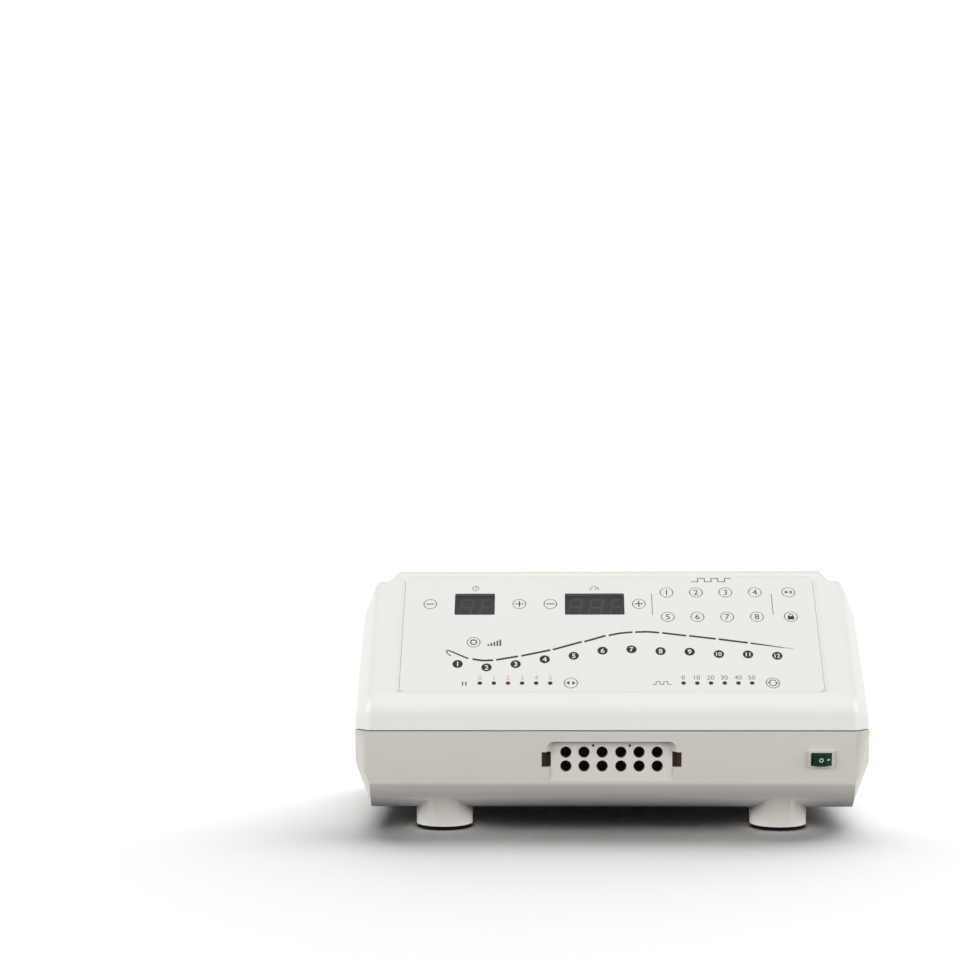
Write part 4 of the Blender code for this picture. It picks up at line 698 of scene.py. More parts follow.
# %% The lower half's skin
SIDE_CUT_HEIGHT = 56.0 * MM
LOWER_RADII, LOWER_SIDE_RADII = mm(30.0, 10.0), mm(8.0, 8.0)
UNDER_FLATNESS = 0.42
lower_top = SEAM_HEIGHT - SEAM_GAP / 2
lower_rim = lower_top + OVERRUN


def lower_profile(depth_cut, bottom, radii):
    corners = [(depth_cut + front_setback(height), height) for height in (lower_rim, bottom)]
    corners += [(BODY_DEPTH - depth_cut, height) for height in (bottom, lower_rim)]
    return rounded_line(corners, radii, CORNER_STEPS)


lower_middle = lower_profile(0, BOTTOM_HEIGHT, LOWER_RADII)
under_curve = lower_middle[1 : CORNER_STEPS + 2]
for step in range(CORNER_STEPS + 1):
    chord = under_curve[0].lerp(under_curve[-1], step / CORNER_STEPS)
    flatness = UNDER_FLATNESS * (1 - step / CORNER_STEPS)
    lower_middle[1 + step] = under_curve[step].lerp(chord, flatness)
lower_side = lower_profile(CORNER_CUT, SIDE_CUT_HEIGHT, LOWER_SIDE_RADII)
lower_casing = casing_shell(
    "lower_half",
    lower_middle,
    lower_middle,
    lower_side,
    lambda index: [(0, 0, 0), (FRONT_HALF, 0, 0), (HALF_WIDTH, 0, 1)],
)
print("lower skin faces:", len(lower_casing.data.polygons))

# %% Foot pods, screw bosses and the hose pocket
FOOT_ACROSS, FOOT_INSET = mm(144.5, 39.25)
FOOT_PLACES = {
    f"foot_{end}_{side}": (way * FOOT_ACROSS, depth)
    for end, depth in (("front", FOOT_INSET), ("rear", BODY_DEPTH - FOOT_INSET))
    for side, way in (("left", -1), ("right", 1))
}
BOSS_ACROSS, BOSS_DIAMETER, BORE_DIAMETER, BORE_LENGTH = mm(198.0, 11.0, 8.0, 53.3)
BOSS_PLACES = [(side * BOSS_ACROSS, depth) for side in (-1, 1) for depth in mm(40, 265)]
POD_DIAMETER, POD_START, POD_TOP = mm(48.5, 3.3, 31.2)
POD_STEPS, BOSS_STEPS = 66, 32
POCKET_TOP, POCKET_DEPTH, POCKET_RADIUS = mm(78.5, 7.5, 6.5)
POCKET_TOP_HALF, POCKET_LOW_HALF = mm(56.2, 52.6)
POCKET_BOTTOM = SEAM_HEIGHT - POCKET_DEPTH / math.tan(FRONT_LEAN)
LATCH_IN, LATCH_OUT, LATCH_LOW, LATCH_HIGH = mm(51.8, 59.7, 56.2, 69.3)
SWITCH_ROOM = mm(20.0, 13.8, 14)
INLET_ROOM = mm(28.6, 34.6, 2)


def pocket_outline(margin):
    low, high = POCKET_BOTTOM - margin, POCKET_TOP + margin
    half_low, half_high = POCKET_LOW_HALF + margin, POCKET_TOP_HALF + margin
    corners = [(-half_low, low), (half_low, low), (half_high, high), (-half_high, high)]
    radius = POCKET_RADIUS + margin
    return rounded_loop(corners, [0, 0, radius, radius], 12)


def latch_box(name, side, front, back, inset=0.0):
    """A block where a latch of the plug goes, between two depths."""
    size = (LATCH_OUT - LATCH_IN - inset, back - front, LATCH_HIGH - LATCH_LOW - inset)
    across = side * (LATCH_OUT + LATCH_IN) / 2
    return box(name, size, at(across, (back + front) / 2, (LATCH_HIGH + LATCH_LOW) / 2))


joined, pods, pod_hollows = [], [], []
hollows = [trimmer("above_seam", lower_top + OVERRUN)]
for name, (across, depth) in FOOT_PLACES.items():
    start = at(across, depth, POD_START)
    pods.append(rod(f"pod_{name}", POD_DIAMETER, POD_TOP - POD_START, start, POD_STEPS))
    start = at(across, depth, POD_START + WALL)
    pod_hollow = rod(f"hollow_{name}", POD_DIAMETER - 2 * WALL, POD_TOP, start, POD_STEPS)
    pod_hollows.append(pod_hollow)
for number, (across, depth) in enumerate(BOSS_PLACES):
    start = at(across, depth, BOTTOM_HEIGHT + WALL / 2)
    joined.append(rod(f"boss_{number}", BOSS_DIAMETER, lower_top - start.z, start, BOSS_STEPS))
    start = at(across, depth, 0)
    hollows.append(rod(f"sunk_{number}", BORE_DIAMETER, BORE_LENGTH, start, BOSS_STEPS))
pocket_back = POCKET_DEPTH + WALL
rim_heights = (POCKET_BOTTOM - WALL, POCKET_TOP + WALL)
rim_outline = [(pocket_back, height) for height in rim_heights]
rim_outline += [(front_setback(height) + WALL / 2, height) for height in reversed(rim_heights)]
rim_half = POCKET_TOP_HALF + WALL
joined.append(plate("pocket_rim", [rim_outline], rim_half, -rim_half, SIDE_FRAME))
combined(lower_casing, joined, "UNION")
hollows += [
    latch_box(f"latch_{side}", side, -OVERRUN, pocket_back + OVERRUN) for side in (-1, 1)
]
pocket = plate("pocket", [pocket_outline(0)], OVERRUN, -pocket_back - OVERRUN, FRONT_FRAME)
switch_room = box("switch_room", SWITCH_ROOM, (0, 0, 0), SWITCH_FRAME)
inlet_room = plate(
    "inlet_room", [rectangle(*INLET_ROOM)], OVERRUN, -WALL - OVERRUN, INLET_FRAME
)
hollows += [pocket, switch_room, inlet_room]
combined(lower_casing, hollows, "DIFFERENCE")
softened(lower_casing, 0.45 * MM)
combined(lower_casing, pods, "UNION")
combined(lower_casing, pod_hollows, "DIFFERENCE")
crisp(lower_casing)
dress(lower_casing, "casing_grey", ["lower_casing"])
print("lower half faces:", len(lower_casing.data.polygons))

# %% [markdown]
# ## The key panel
# The panel is a thin moulded plate, flush in its recess, with a hole for each key, window and
# lamp. Its outline and its holes are one filled curve, so that every hole is round and clean.

# %% Places on the panel
DISPLAY_ROW = PANEL_LENGTH * 0.7611
SETTINGS_ROW = PANEL_LENGTH * 0.4209
PROGRAM_ROWS = (PANEL_LENGTH * 0.8639, PANEL_LENGTH * 0.6431)
BOTTOM_ROW = 9.2 * MM
TIME_MIDDLE = PANEL_WIDTH * -0.3275
PRESSURE_MIDDLE = PANEL_WIDTH * -0.0349
START_PLACE = PANEL_WIDTH * 0.4389
KEY_PLACES = {
    "key_time_down": (TIME_MIDDLE - PANEL_WIDTH * 0.1090, DISPLAY_ROW),
    "key_time_up": (TIME_MIDDLE + PANEL_WIDTH * 0.1090, DISPLAY_ROW),
    "key_pressure_down": (PRESSURE_MIDDLE - PANEL_WIDTH * 0.1079, DISPLAY_ROW),
    "key_pressure_up": (PRESSURE_MIDDLE + PANEL_WIDTH * 0.1079, DISPLAY_ROW),
    "key_settings": (TIME_MIDDLE, SETTINGS_ROW),
    "key_hold_time": (PANEL_WIDTH * -0.0947, BOTTOM_ROW),
    "key_interval": (PANEL_WIDTH * 0.3806, BOTTOM_ROW),
    "key_start": (START_PLACE, PROGRAM_ROWS[0]),
    "key_lock": (START_PLACE, PROGRAM_ROWS[1]),
}
PROGRAM_KEYS = []
for number, letter in enumerate("abcdefgh"):
    across = PANEL_WIDTH * (0.1417 + 0.0718 * (number % 4))
    KEY_PLACES[f"key_program_{letter}"] = (across, PROGRAM_ROWS[number // 4])
    PROGRAM_KEYS.append(f"key_program_{letter}")
WINDOWS = {
    "time": (TIME_MIDDLE, PANEL_WIDTH * 0.0980),
    "pressure": (PRESSURE_MIDDLE, PANEL_WIDTH * 0.1450),
}
CHAMBER_SHARES = (
    0.2337, 0.2040, 0.2322, 0.2733, 0.3037, 0.3479, 0.3593, 0.3433, 0.3380, 0.3174, 0.3144, 0.3022,
)
CHAMBER_PLACES = [
    (PANEL_WIDTH * (-0.3641 + 0.0692 * number), PANEL_LENGTH * share)
    for number, share in enumerate(CHAMBER_SHARES)
]
HOLD_PLACES = [(PANEL_WIDTH * (-0.3099 + 0.0333 * step), BOTTOM_ROW) for step in range(6)]
INTERVAL_PLACES = [(PANEL_WIDTH * (0.1709 + 0.0322 * step), BOTTOM_ROW) for step in range(6)]
KEY_RADIUS, WINDOW_HEIGHT, WINDOW_RADIUS = mm(5.7, 25.2, 1.2)
CHAMBER_RADIUS, STEP_RADIUS, LENS_CLEARANCE, PANEL_REACH = mm(4.4, 1.9, 0.1, 0.28)
print(len(KEY_PLACES), "keys,", len(CHAMBER_PLACES), "numbered lamps")

# %% The panel plate
panel_holes = [circle(KEY_RADIUS + GAP, place) for place in KEY_PLACES.values()]
panel_holes += [
    rectangle(width, WINDOW_HEIGHT, WINDOW_RADIUS, (across, DISPLAY_ROW))
    for across, width in WINDOWS.values()
]
panel_holes += [circle(CHAMBER_RADIUS + LENS_CLEARANCE, place) for place in CHAMBER_PLACES]
panel_holes += [
    circle(STEP_RADIUS + LENS_CLEARANCE, place, 28) for place in HOLD_PLACES + INTERVAL_PLACES
]
panel_edge = rectangle(
    PANEL_WIDTH, PANEL_LENGTH + 2 * PANEL_REACH, PANEL_RADIUS, (0, PANEL_LENGTH / 2)
)
panel = plate("key_panel", [panel_edge, *panel_holes], 0, -PANEL_THICKNESS, PANEL_FRAME)
dress(panel, "overlay_white", ["control_panel"])
print("panel faces:", len(panel.data.polygons))

# %% [markdown]
# ## Keys
# All keys are one turned shape: a flat cap with a small radius, the flange that keeps it in and
# a stem. Each copy sits at its own place and moves with its own body, so that each can be pressed.

# %% The keys
KEY_PROUD, KEY_EDGE = mm(0.2, 0.35)
FLANGE_RADIUS, FLANGE_TOP, FLANGE_BOTTOM, STEM_RADIUS, STEM_BOTTOM = mm(6.9, -3.3, -4.5, 2.0, -6.1)
key_profile = [(0, KEY_PROUD)]
for turn in (RIGHT_ANGLE * step / 4 for step in range(5)):
    radius = KEY_RADIUS - KEY_EDGE + KEY_EDGE * math.sin(turn)
    key_profile.append((radius, KEY_PROUD - KEY_EDGE + KEY_EDGE * math.cos(turn)))
key_profile += [
    (KEY_RADIUS, FLANGE_TOP),
    (FLANGE_RADIUS, FLANGE_TOP),
    (FLANGE_RADIUS, FLANGE_BOTTOM),
    (STEM_RADIUS, FLANGE_BOTTOM),
    (STEM_RADIUS, STEM_BOTTOM),
    (0, STEM_BOTTOM),
]
KEY_FRAMES = {
    name: PANEL_FRAME @ Matrix.Translation((across, up, 0))
    for name, (across, up) in KEY_PLACES.items()
}
for name, frame_of_key in KEY_FRAMES.items():
    key = turned(f"{name}_cap", key_profile, 48, frame_of_key)
    dress(key, "key_white", [name], name)
print("keys made:", len(KEY_FRAMES))

# %% [markdown]
# ## Displays and lamps
# Each window is smoked plastic over a black block of digits. The digits are unlit, so their
# slanted segments show only as a slightly paler shape behind the smoke.

# %% Windows and digits
DIGIT_TALL, DIGIT_WIDE, DIGIT_PITCH, STROKE = mm(18.6, 10.2, 18.5, 1.7)
DIGIT_SLANT = math.tan(math.radians(9))
DIGIT_TOP, DIGIT_RISE, DIGIT_SHIFT, BAR_GAP = mm(-4.6, 0.06, 1.4, 0.22)
DIGIT_COUNTS = {"time": 2, "pressure": 3}
PANE_BACK, PANE_CLEARANCE = mm(-4.2, 0.2)


def digit_segments(middle):
    """The seven bars of one digit, as hexagons with a thin gap between them."""
    reach_x, reach_y = DIGIT_WIDE / 2, DIGIT_TALL / 4
    half = STROKE / 2
    bars = []
    for across, up, lies in (
        (0, 2, True), (0, 0, True), (0, -2, True),
        (-1, 1, False), (1, 1, False), (-1, -1, False), (1, -1, False),
    ):
        long = (reach_x if lies else reach_y) - BAR_GAP
        shape = [(-long, 0), (half - long, half), (long - half, half)]
        shape += [(-x, -y) for x, y in shape]
        bar = []
        for x, y in shape:
            place = (x, y) if lies else (y, x)
            over = place[0] + across * reach_x
            high = place[1] + up * reach_y
            bar.append(Vector((middle[0] + over + high * DIGIT_SLANT, middle[1] + high)))
        bars.append(bar)
    return bars


for name, (across, width) in WINDOWS.items():
    size = (width - PANE_CLEARANCE, WINDOW_HEIGHT - PANE_CLEARANCE)
    outline = rectangle(*size, WINDOW_RADIUS, (across, DISPLAY_ROW))
    window = plate(f"{name}_pane", [outline], 0, PANE_BACK, PANEL_FRAME)
    dress(window, "window_smoke", [f"{name}_window"])
    count = DIGIT_COUNTS[name]
    shapes = []
    for number in range(count):
        place = across + DIGIT_SHIFT + (number - (count - 1) / 2) * DIGIT_PITCH
        shapes += digit_segments((place, DISPLAY_ROW))
    segments = plate(f"{name}_segments", shapes, DIGIT_TOP + DIGIT_RISE, DIGIT_TOP, PANEL_FRAME)
    dress(segments, "segment_grey")
    print(name, "window with", count, "digits")

# %% Numbered lamps and step lamps
STRIP_TOP, STRIP_BOTTOM, LENS_LENGTH = mm(-3.3, -4.7, 4.0)
CHAMBER_MARGIN, STEP_STRIP, TINT_RISE, TINT_SINK = mm(1.2, 6.2, 0.045, -0.005)
RED_STEP = 2


def lamp_strip(name, places, radius, steps, outline):
    """Lenses that stand up through the panel from the strip behind it."""
    strip = plate(name, [outline], STRIP_TOP, STRIP_BOTTOM, PANEL_FRAME)
    lenses = []
    for number, place in enumerate(places):
        start = (*place, -LENS_LENGTH)
        lens = rod(f"{name}_{number}", 2 * radius, LENS_LENGTH, start, steps, PANEL_FRAME)
        lenses.append(lens)
    combined(strip, lenses, "UNION")
    return softened(strip, 0.12 * MM)


strip_reach = CHAMBER_RADIUS + CHAMBER_MARGIN
strip_line = [Vector(place) for place in CHAMBER_PLACES]
strip_line[0] = strip_line[0] - Vector((strip_reach, 0))
strip_line[-1] = strip_line[-1] + Vector((strip_reach, 0))
strip_outline = [point - Vector((0, strip_reach)) for point in strip_line]
strip_outline += [point + Vector((0, strip_reach)) for point in reversed(strip_line)]
number_lenses = lamp_strip("numbered_lenses", CHAMBER_PLACES, CHAMBER_RADIUS, 48, strip_outline)
dress(number_lenses, "lens_black", ["number_lights"])
for name, places in (("hold", HOLD_PLACES), ("interval", INTERVAL_PLACES)):
    first, last = places[0][0], places[-1][0]
    middle = ((first + last) / 2, BOTTOM_ROW)
    outline = rectangle(last - first + STEP_STRIP, STEP_STRIP, 0, middle)
    strip = lamp_strip(f"{name}_lenses", places, STEP_RADIUS, 32, outline)
    dress(strip, "lens_smoke", [f"{name}_lights"])
start = (*HOLD_PLACES[RED_STEP], TINT_SINK)
tinted = rod("hold_lens_tint", 2 * STEP_RADIUS, TINT_RISE - TINT_SINK, start, 32, PANEL_FRAME)
dress(tinted, "lens_red")
print("lamps made")

# %% [markdown]
# ## Printing
# Marks are printed on the panel and on the key caps. Each is a plate a few hundredths of a
# millimetre thick, cut from a flat outline, so that it also shows in the exported model.

# %% Strokes, numerals and printing
PRINT_RISE, PRINT_SINK = mm(0.05, 0.02)
PANEL_UP, PANEL_UP_START = 1.015, 3.9


def on_panel(across, up):
    """Turns a place measured on the slope, in mm, into one on the panel."""
    return Vector((across, PANEL_UP * up + PANEL_UP_START)) * MM


def smooth_line(points, steps=8):
    """A curve through a few points."""
    points = [Vector(point) for point in points]
    ends = [2 * points[0] - points[1], *points, 2 * points[-1] - points[-2]]
    curve = []
    for before, start, stop, after in zip(ends, ends[1:], ends[2:], ends[3:]):
        for step in range(steps):
            share = step / steps
            curve.append(
                0.5
                * (
                    2 * start
                    + (stop - before) * share
                    + (2 * before - 5 * start + 4 * stop - after) * share**2
                    + (3 * start - before - 3 * stop + after) * share**3
                )
            )
    return curve + [points[-1]]


def stroke(points, width, end_width=None):
    """The outline of a line of some width, which may taper to another."""
    points = [Vector(point) for point in points]
    last = len(points) - 1
    upper, lower = [], []
    for index, point in enumerate(points):
        leaving = (points[min(index + 1, last)] - points[min(index, last - 1)]).normalized()
        coming = (points[max(index, 1)] - points[max(index - 1, 0)]).normalized()
        along = (leaving + coming).normalized()
        normal = Vector((-along.y, along.x))
        share = index / last
        wide = width if end_width is None else width + (end_width - width) * share
        reach = wide / 2 / max(along.dot(leaving), 0.3)
        upper.append(point + normal * reach)
        lower.append(point - normal * reach)
    return upper + lower[::-1]


def arc(radius, start, stop, middle=(0, 0), steps=20):
    turn = math.radians(stop - start)
    first = Matrix.Rotation(math.radians(start), 2) @ Vector((radius, 0))
    return [
        Vector(middle) + Matrix.Rotation(turn * step / steps, 2) @ first
        for step in range(steps + 1)
    ]


def printed(name, outlines, ink, frame=PANEL_FRAME, height=0, body="casing"):
    piece = plate(name, outlines, height + PRINT_RISE, height - PRINT_SINK, frame)
    dress(piece, ink, body=body)


def numeral(name, text, tall, weight, place, ink, slot="panel_overlay", height=0, body="casing"):
    """A number from the plain built-in letters, sized by its height and centred on its place."""
    words = bpy.data.curves.new(name, "FONT")
    words.body = text
    words.offset = weight
    words.extrude = 0.01
    words.resolution_u = 5
    drawn = bpy.data.objects.new(name, words)
    mesh = bmesh.new()
    mesh.from_mesh(bpy.data.meshes.new_from_object(drawn))
    bpy.data.objects.remove(drawn)
    low, high = (
        Vector([end(vert.co[axis] for vert in mesh.verts) for axis in range(3)])
        for end in (min, max)
    )
    scale = tall / (high.y - low.y)
    thick = (PRINT_RISE + PRINT_SINK) / (high.z - low.z)
    sized = Matrix.Diagonal((scale, scale, thick, 1)) @ Matrix.Translation(-(low + high) / 2)
    bmesh.ops.transform(mesh, matrix=sized, verts=mesh.verts)
    bmesh.ops.remove_doubles(mesh, verts=mesh.verts, dist=WELD / 4)
    lift = height + (PRINT_RISE - PRINT_SINK) / 2
    piece = finished_object(name, mesh, PANEL_FRAME @ Matrix.Translation((*place, lift)))
    dress(piece, ink, body=body)


print("printing helpers ready")

# %% The curve of bars, the dividers and the numerals
CURVE_BARS = (
    ((-119.5, 31.8), (-110.9, 30.3), (-101.5, 30.5)),
    ((-99, 30.9), (-80, 34.9)),
    ((-77.2, 35.3), (-52, 41.9)),
    ((-49.8, 42.3), (-24.6, 51.2)),
    ((-22.3, 51.3), (-3.6, 58.1)),
    ((-1, 58.3), (9, 60.8), (20, 62.1)),
    ((22.4, 62.1), (33, 62.4), (43.3, 61.4)),
    ((45.9, 61.2), (66.8, 57.9)),
    ((69.3, 57.8), (92.3, 54.3)),
    ((94.7, 54), (119.8, 49.8)),
)
HOOK = (
    (-138.2, 35.0), (-141.6, 38.6), (-142.2, 41.0), (-139.8, 41.2), (-131.2, 36.6), (-123.2, 32.4),
)
TAIL = ((122.1, 49.5), (138.0, 46.6), (150.5, 44.3), (159.0, 43.1))
DIVIDERS = ((38.2, 81.7, 106.4), (144.2, 81.9, 106.4))
BAR_WIDTH, HOOK_START_WIDTH, HOOK_END_WIDTH, DIVIDER_WIDTH = mm(2.0, 0.8, 1.6, 0.55)
LAMP_DIGIT_TALL, LAMP_PAIR_TALL, STEP_DIGIT_TALL, STEP_DIGIT_RISE = mm(5.2, 4.5, 4.6, 6.1)


def panel_curve(places):
    return smooth_line([on_panel(*place) for place in places])


printed("curve_bars", [stroke(panel_curve(bar), BAR_WIDTH) for bar in CURVE_BARS], "ink_dark")
hook = stroke(panel_curve(HOOK), HOOK_START_WIDTH, HOOK_END_WIDTH)
printed("curve_hook", [hook], "ink_dark")
for number, ink in enumerate(("ink_dark", "ink_grey", "ink_light")):
    ends = [on_panel(*place) for place in TAIL[number : number + 2]]
    widths = mm(1.7 - 0.4 * number, 1.3 - 0.4 * number)
    printed(f"curve_tail_{number}", [stroke(ends, *widths)], ink)
lines = [
    stroke([on_panel(across, low), on_panel(across, high)], DIVIDER_WIDTH)
    for across, low, high in DIVIDERS
]
printed("dividers", lines, "ink_grey")
for number, place in enumerate(CHAMBER_PLACES, start=1):
    tall = LAMP_DIGIT_TALL if number < 10 else LAMP_PAIR_TALL
    numeral(f"lamp_number_{number}", str(number), tall, 0.02, place, "ink_white", "number_lens")
for name, places, unit, weight, ink in (
    ("hold", HOLD_PLACES, 1, -0.012, "ink_light"),
    ("interval", INTERVAL_PLACES, 10, -0.008, "ink_grey"),
):
    for number, (across, up) in enumerate(places):
        place = (across, up + STEP_DIGIT_RISE)
        numeral(f"{name}_{number}", str(unit * number), STEP_DIGIT_TALL, weight, place, ink)
print("bars and numerals printed")

# %% The marks on the keys


def key_mark(name, outlines, part="mark", ink="ink_dark", sink=0):
    """Shapes on a key's cap, drawn in millimetres."""
    shapes = [[Vector(point) * MM for point in outline] for outline in outlines]
    height = KEY_PROUD - sink
    printed(f"{name}_{part}", shapes, ink, KEY_FRAMES[name], height, name)


def cog(teeth, outer, root):
    outline = []
    for tooth in range(teeth):
        for turn, radius in ((-0.28, root), (-0.16, outer), (0.16, outer), (0.28, root)):
            angle = math.tau * (tooth + turn) / teeth
            outline.append(Vector((radius * math.cos(angle), radius * math.sin(angle))))
    return outline


def plus(reach, half):
    """A plus sign, one arm after another."""
    arm = [Vector(corner) for corner in ((reach, -half), (reach, half), (half, half))]
    return [Matrix.Rotation(RIGHT_ANGLE * turn, 2) @ place for turn in range(4) for place in arm]


RIM_SINK, PROGRAM_DIGIT_TALL = mm(0.01, 6.2)
for name in ("key_time", "key_pressure"):
    key_mark(f"{name}_down", [rectangle(7.2, 0.95)])
    key_mark(f"{name}_up", [plus(3.6, 0.46)])
key_mark("key_settings", [cog(8, 3.5, 2.8), circle(2.05, steps=32)])
arrows = [[(side * 3.9, 0), (side * 1.2, 2.1), (side * 1.2, -2.1)] for side in (-1, 1)]
key_mark("key_hold_time", arrows)
for name in KEY_FRAMES:
    key_mark(name, [circle(5.65), circle(5.25)], "rim", "ink_grey", RIM_SINK)
cycle = []
for start in (0, 180):
    turn = Matrix.Rotation(math.radians(start), 2)
    head = [turn @ Vector(point) for point in ((1.85, 0.5), (4.55, 0.5), (3.2, -1.4))]
    cycle += [stroke(arc(3.2, start + 158, start + 22), 0.7), head]
key_mark("key_interval", cycle)
key_mark("key_start", [[(-3.0, -1.7), (-3.0, 1.7), (0.1, 0)]])
key_mark("key_start", [rectangle(0.8, 3.2, 0, (across, 0)) for across in (1.3, 2.8)], "bars")
key_mark("key_lock", [rectangle(5.6, 3.9, 0.5, (0, -1.3))])
shackle = stroke([(-1.7, 0.6), *arc(1.7, 180, 0, (0, 1.4)), (1.7, 0.6)], 0.75)
key_mark("key_lock", [shackle], "shackle")
for number, name in enumerate(PROGRAM_KEYS, start=1):
    place, wear = KEY_PLACES[name], ("ink_dark", "keys", KEY_PROUD, name)
    numeral(f"{name}_mark", str(number), PROGRAM_DIGIT_TALL, 0.0, place, *wear)
print("key marks printed")

# %% Plain signs beside the displays


def sign(name, outlines, middle, ink="ink_grey"):
    """Shapes about a place on the panel, drawn in millimetres."""
    place = on_panel(*middle)
    printed(name, [[Vector(point) * MM + place for point in outline] for outline in outlines], ink)


def square_wave(turns, reach):
    """A line that changes between two levels at each place across."""
    points = [
        (across, way * reach)
        for number, across in enumerate(turns)
        for way in ((1, -1) if number % 2 == 0 else (-1, 1))
    ]
    return points[1:-1]


clock_hands = stroke([(0, 1.9), (0, 0), (1.5, 0)], 0.5)
clock = [circle(3.0, steps=40), circle(2.45, steps=40), clock_hands]
sign("time_sign", clock, (-118.6, 113.2))
gauge = [stroke(arc(3.6, 200, -20), 0.6), stroke([(0, -0.6), (1.9, 2.0)], 0.6)]
sign("pressure_sign", gauge, (-12.5, 111.6))
bars = [rectangle(1.6, 2.2 + 1.3 * step, 0, (2.6 * step, 0.65 * step)) for step in range(5)]
sign("chambers_sign", bars, (-106.0, 47.6))
pulses = stroke(square_wave(range(-18, 19, 6), 2), 0.7)
sign("program_sign", [pulses], (91.8, 122.6), "ink_dark")
sign("hold_sign", [rectangle(1.2, 4.4, 0, (side * 1.4, 0)) for side in (-1, 1)], (-126.0, 4.6))
pulses = stroke(square_wave((-8, -5, -1.6, 1.6, 5, 8), 1.6), 0.6)
sign("interval_sign", [pulses], (43.6, 5.2))
print("signs printed")

# %% [markdown]
# ## The hose pocket
# The socket block is the floor of the pocket. Twelve bores take the hoses, each with a small
# radius round its mouth that catches the light, and two slots take the plug's latches. Painted
# shade stands in the bores and slots: dark sleeves, caps and blocks that stand for the shade in a
# dim pocket, so that the holes look as deep as they do there.

# %% The air socket
SOCKET_BACK, SOCKET_MARGIN = mm(26.0, -0.05)
FLANGE_MARGIN, FLANGE_FRONT, FLANGE_BACK = mm(2.5, -11.7, -13.9)
PORT_DIAMETER, PORT_END, PORT_LENGTH, PORT_STEPS = *mm(9.7, -22.5, 19.0), 48
# Painted shade: the sleeve, cap and latch values below place dark pieces in the bores, the pin
# holes and the latch slots, which stand for the shade inside them.
SHADE_SLEEVE_OUTER, SHADE_SLEEVE_INNER, SHADE_SLEEVE_FRONT, SHADE_SLEEVE_END = mm(4.8, 4.55, -8.3, -22.4)
SHADE_SLEEVE_CAP, SHADE_SLEEVE_CAP_LENGTH = mm(9.4, 0.3)
PIN_ACROSS, PIN_UP, PIN_END, PIN_DIAMETER, PIN_LENGTH = mm(15.7, 74.4, -10.0, 2.4, 6.5)
PIN_SHADE_CAP, PIN_SHADE_CAP_START, PIN_SHADE_CAP_LENGTH = mm(2.3, -8.6, 0.2)
LATCH_SHADE_FRONT, LATCH_SHADE_BACK, LATCH_SHADE_INSET = mm(11.7, 12.3, 0.4)
PORT_PLACES = [
    (side * (8.0 + 15.5 * number) * MM, row * MM)
    for row in (68.8, 56.9)
    for side in (-1, 1)
    for number in range(3)
]
socket_outline, flange_outline = pocket_outline(SOCKET_MARGIN), pocket_outline(FLANGE_MARGIN)
socket = plate("socket_block", [socket_outline], -POCKET_DEPTH, -SOCKET_BACK, FRONT_FRAME)
flange = plate("socket_rim", [flange_outline], FLANGE_FRONT, FLANGE_BACK, FRONT_FRAME)
combined(socket, [flange], "UNION")
bores = [
    latch_box(f"latch_{side}", side, -OVERRUN, SOCKET_BACK + OVERRUN) for side in (-1, 1)
]
for number, place in enumerate(PORT_PLACES):
    start = (*place, PORT_END)
    bore = rod(f"bore_{number}", PORT_DIAMETER, PORT_LENGTH, start, PORT_STEPS, FRONT_FRAME)
    bores.append(bore)
for side in (-1, 1):
    start = (side * PIN_ACROSS, PIN_UP, PIN_END)
    bores.append(rod(f"pin_{side}", PIN_DIAMETER, PIN_LENGTH, start, 24, FRONT_FRAME))
combined(socket, bores, "DIFFERENCE")
softened(socket, 0.4 * MM, segments=3)
dress(socket, "socket_grey", ["air_socket"])
# Painted shade: a dark sleeve and cap in each bore stand for the shade inside it.
for number, place in enumerate(PORT_PLACES):
    rings = [circle(radius, place, PORT_STEPS) for radius in (SHADE_SLEEVE_OUTER, SHADE_SLEEVE_INNER)]
    shade_sleeve = plate(f"port_shade_sleeve_{number}", rings, SHADE_SLEEVE_FRONT, SHADE_SLEEVE_END, FRONT_FRAME)
    start = (*place, SHADE_SLEEVE_END)
    end = rod(f"port_shade_cap_{number}", SHADE_SLEEVE_CAP, SHADE_SLEEVE_CAP_LENGTH, start, PORT_STEPS, FRONT_FRAME)
    combined(shade_sleeve, [end], "UNION")
    dress(shade_sleeve, "port_painted_shade")
# Painted shade: dark caps in the pin holes and latch slots stand for the shade behind them.
for side in (-1, 1):
    start = (side * PIN_ACROSS, PIN_UP, PIN_SHADE_CAP_START)
    pin_shade_cap = rod(f"pin_shade_cap_{side}", PIN_SHADE_CAP, PIN_SHADE_CAP_LENGTH, start, 24, FRONT_FRAME)
    dress(pin_shade_cap, "port_painted_shade")
    depths = (LATCH_SHADE_FRONT, LATCH_SHADE_BACK, LATCH_SHADE_INSET)
    dress(latch_box(f"latch_shade_cap_{side}", side, *depths), "port_painted_shade")
print("ports:", len(PORT_PLACES))

# %% [markdown]
# ## The power switch
# The rocker is a prism with two ridges. At rest its right half is pressed in, so it tips eight
# degrees about its upright pin. The marks are printed on its facets and tip with it.

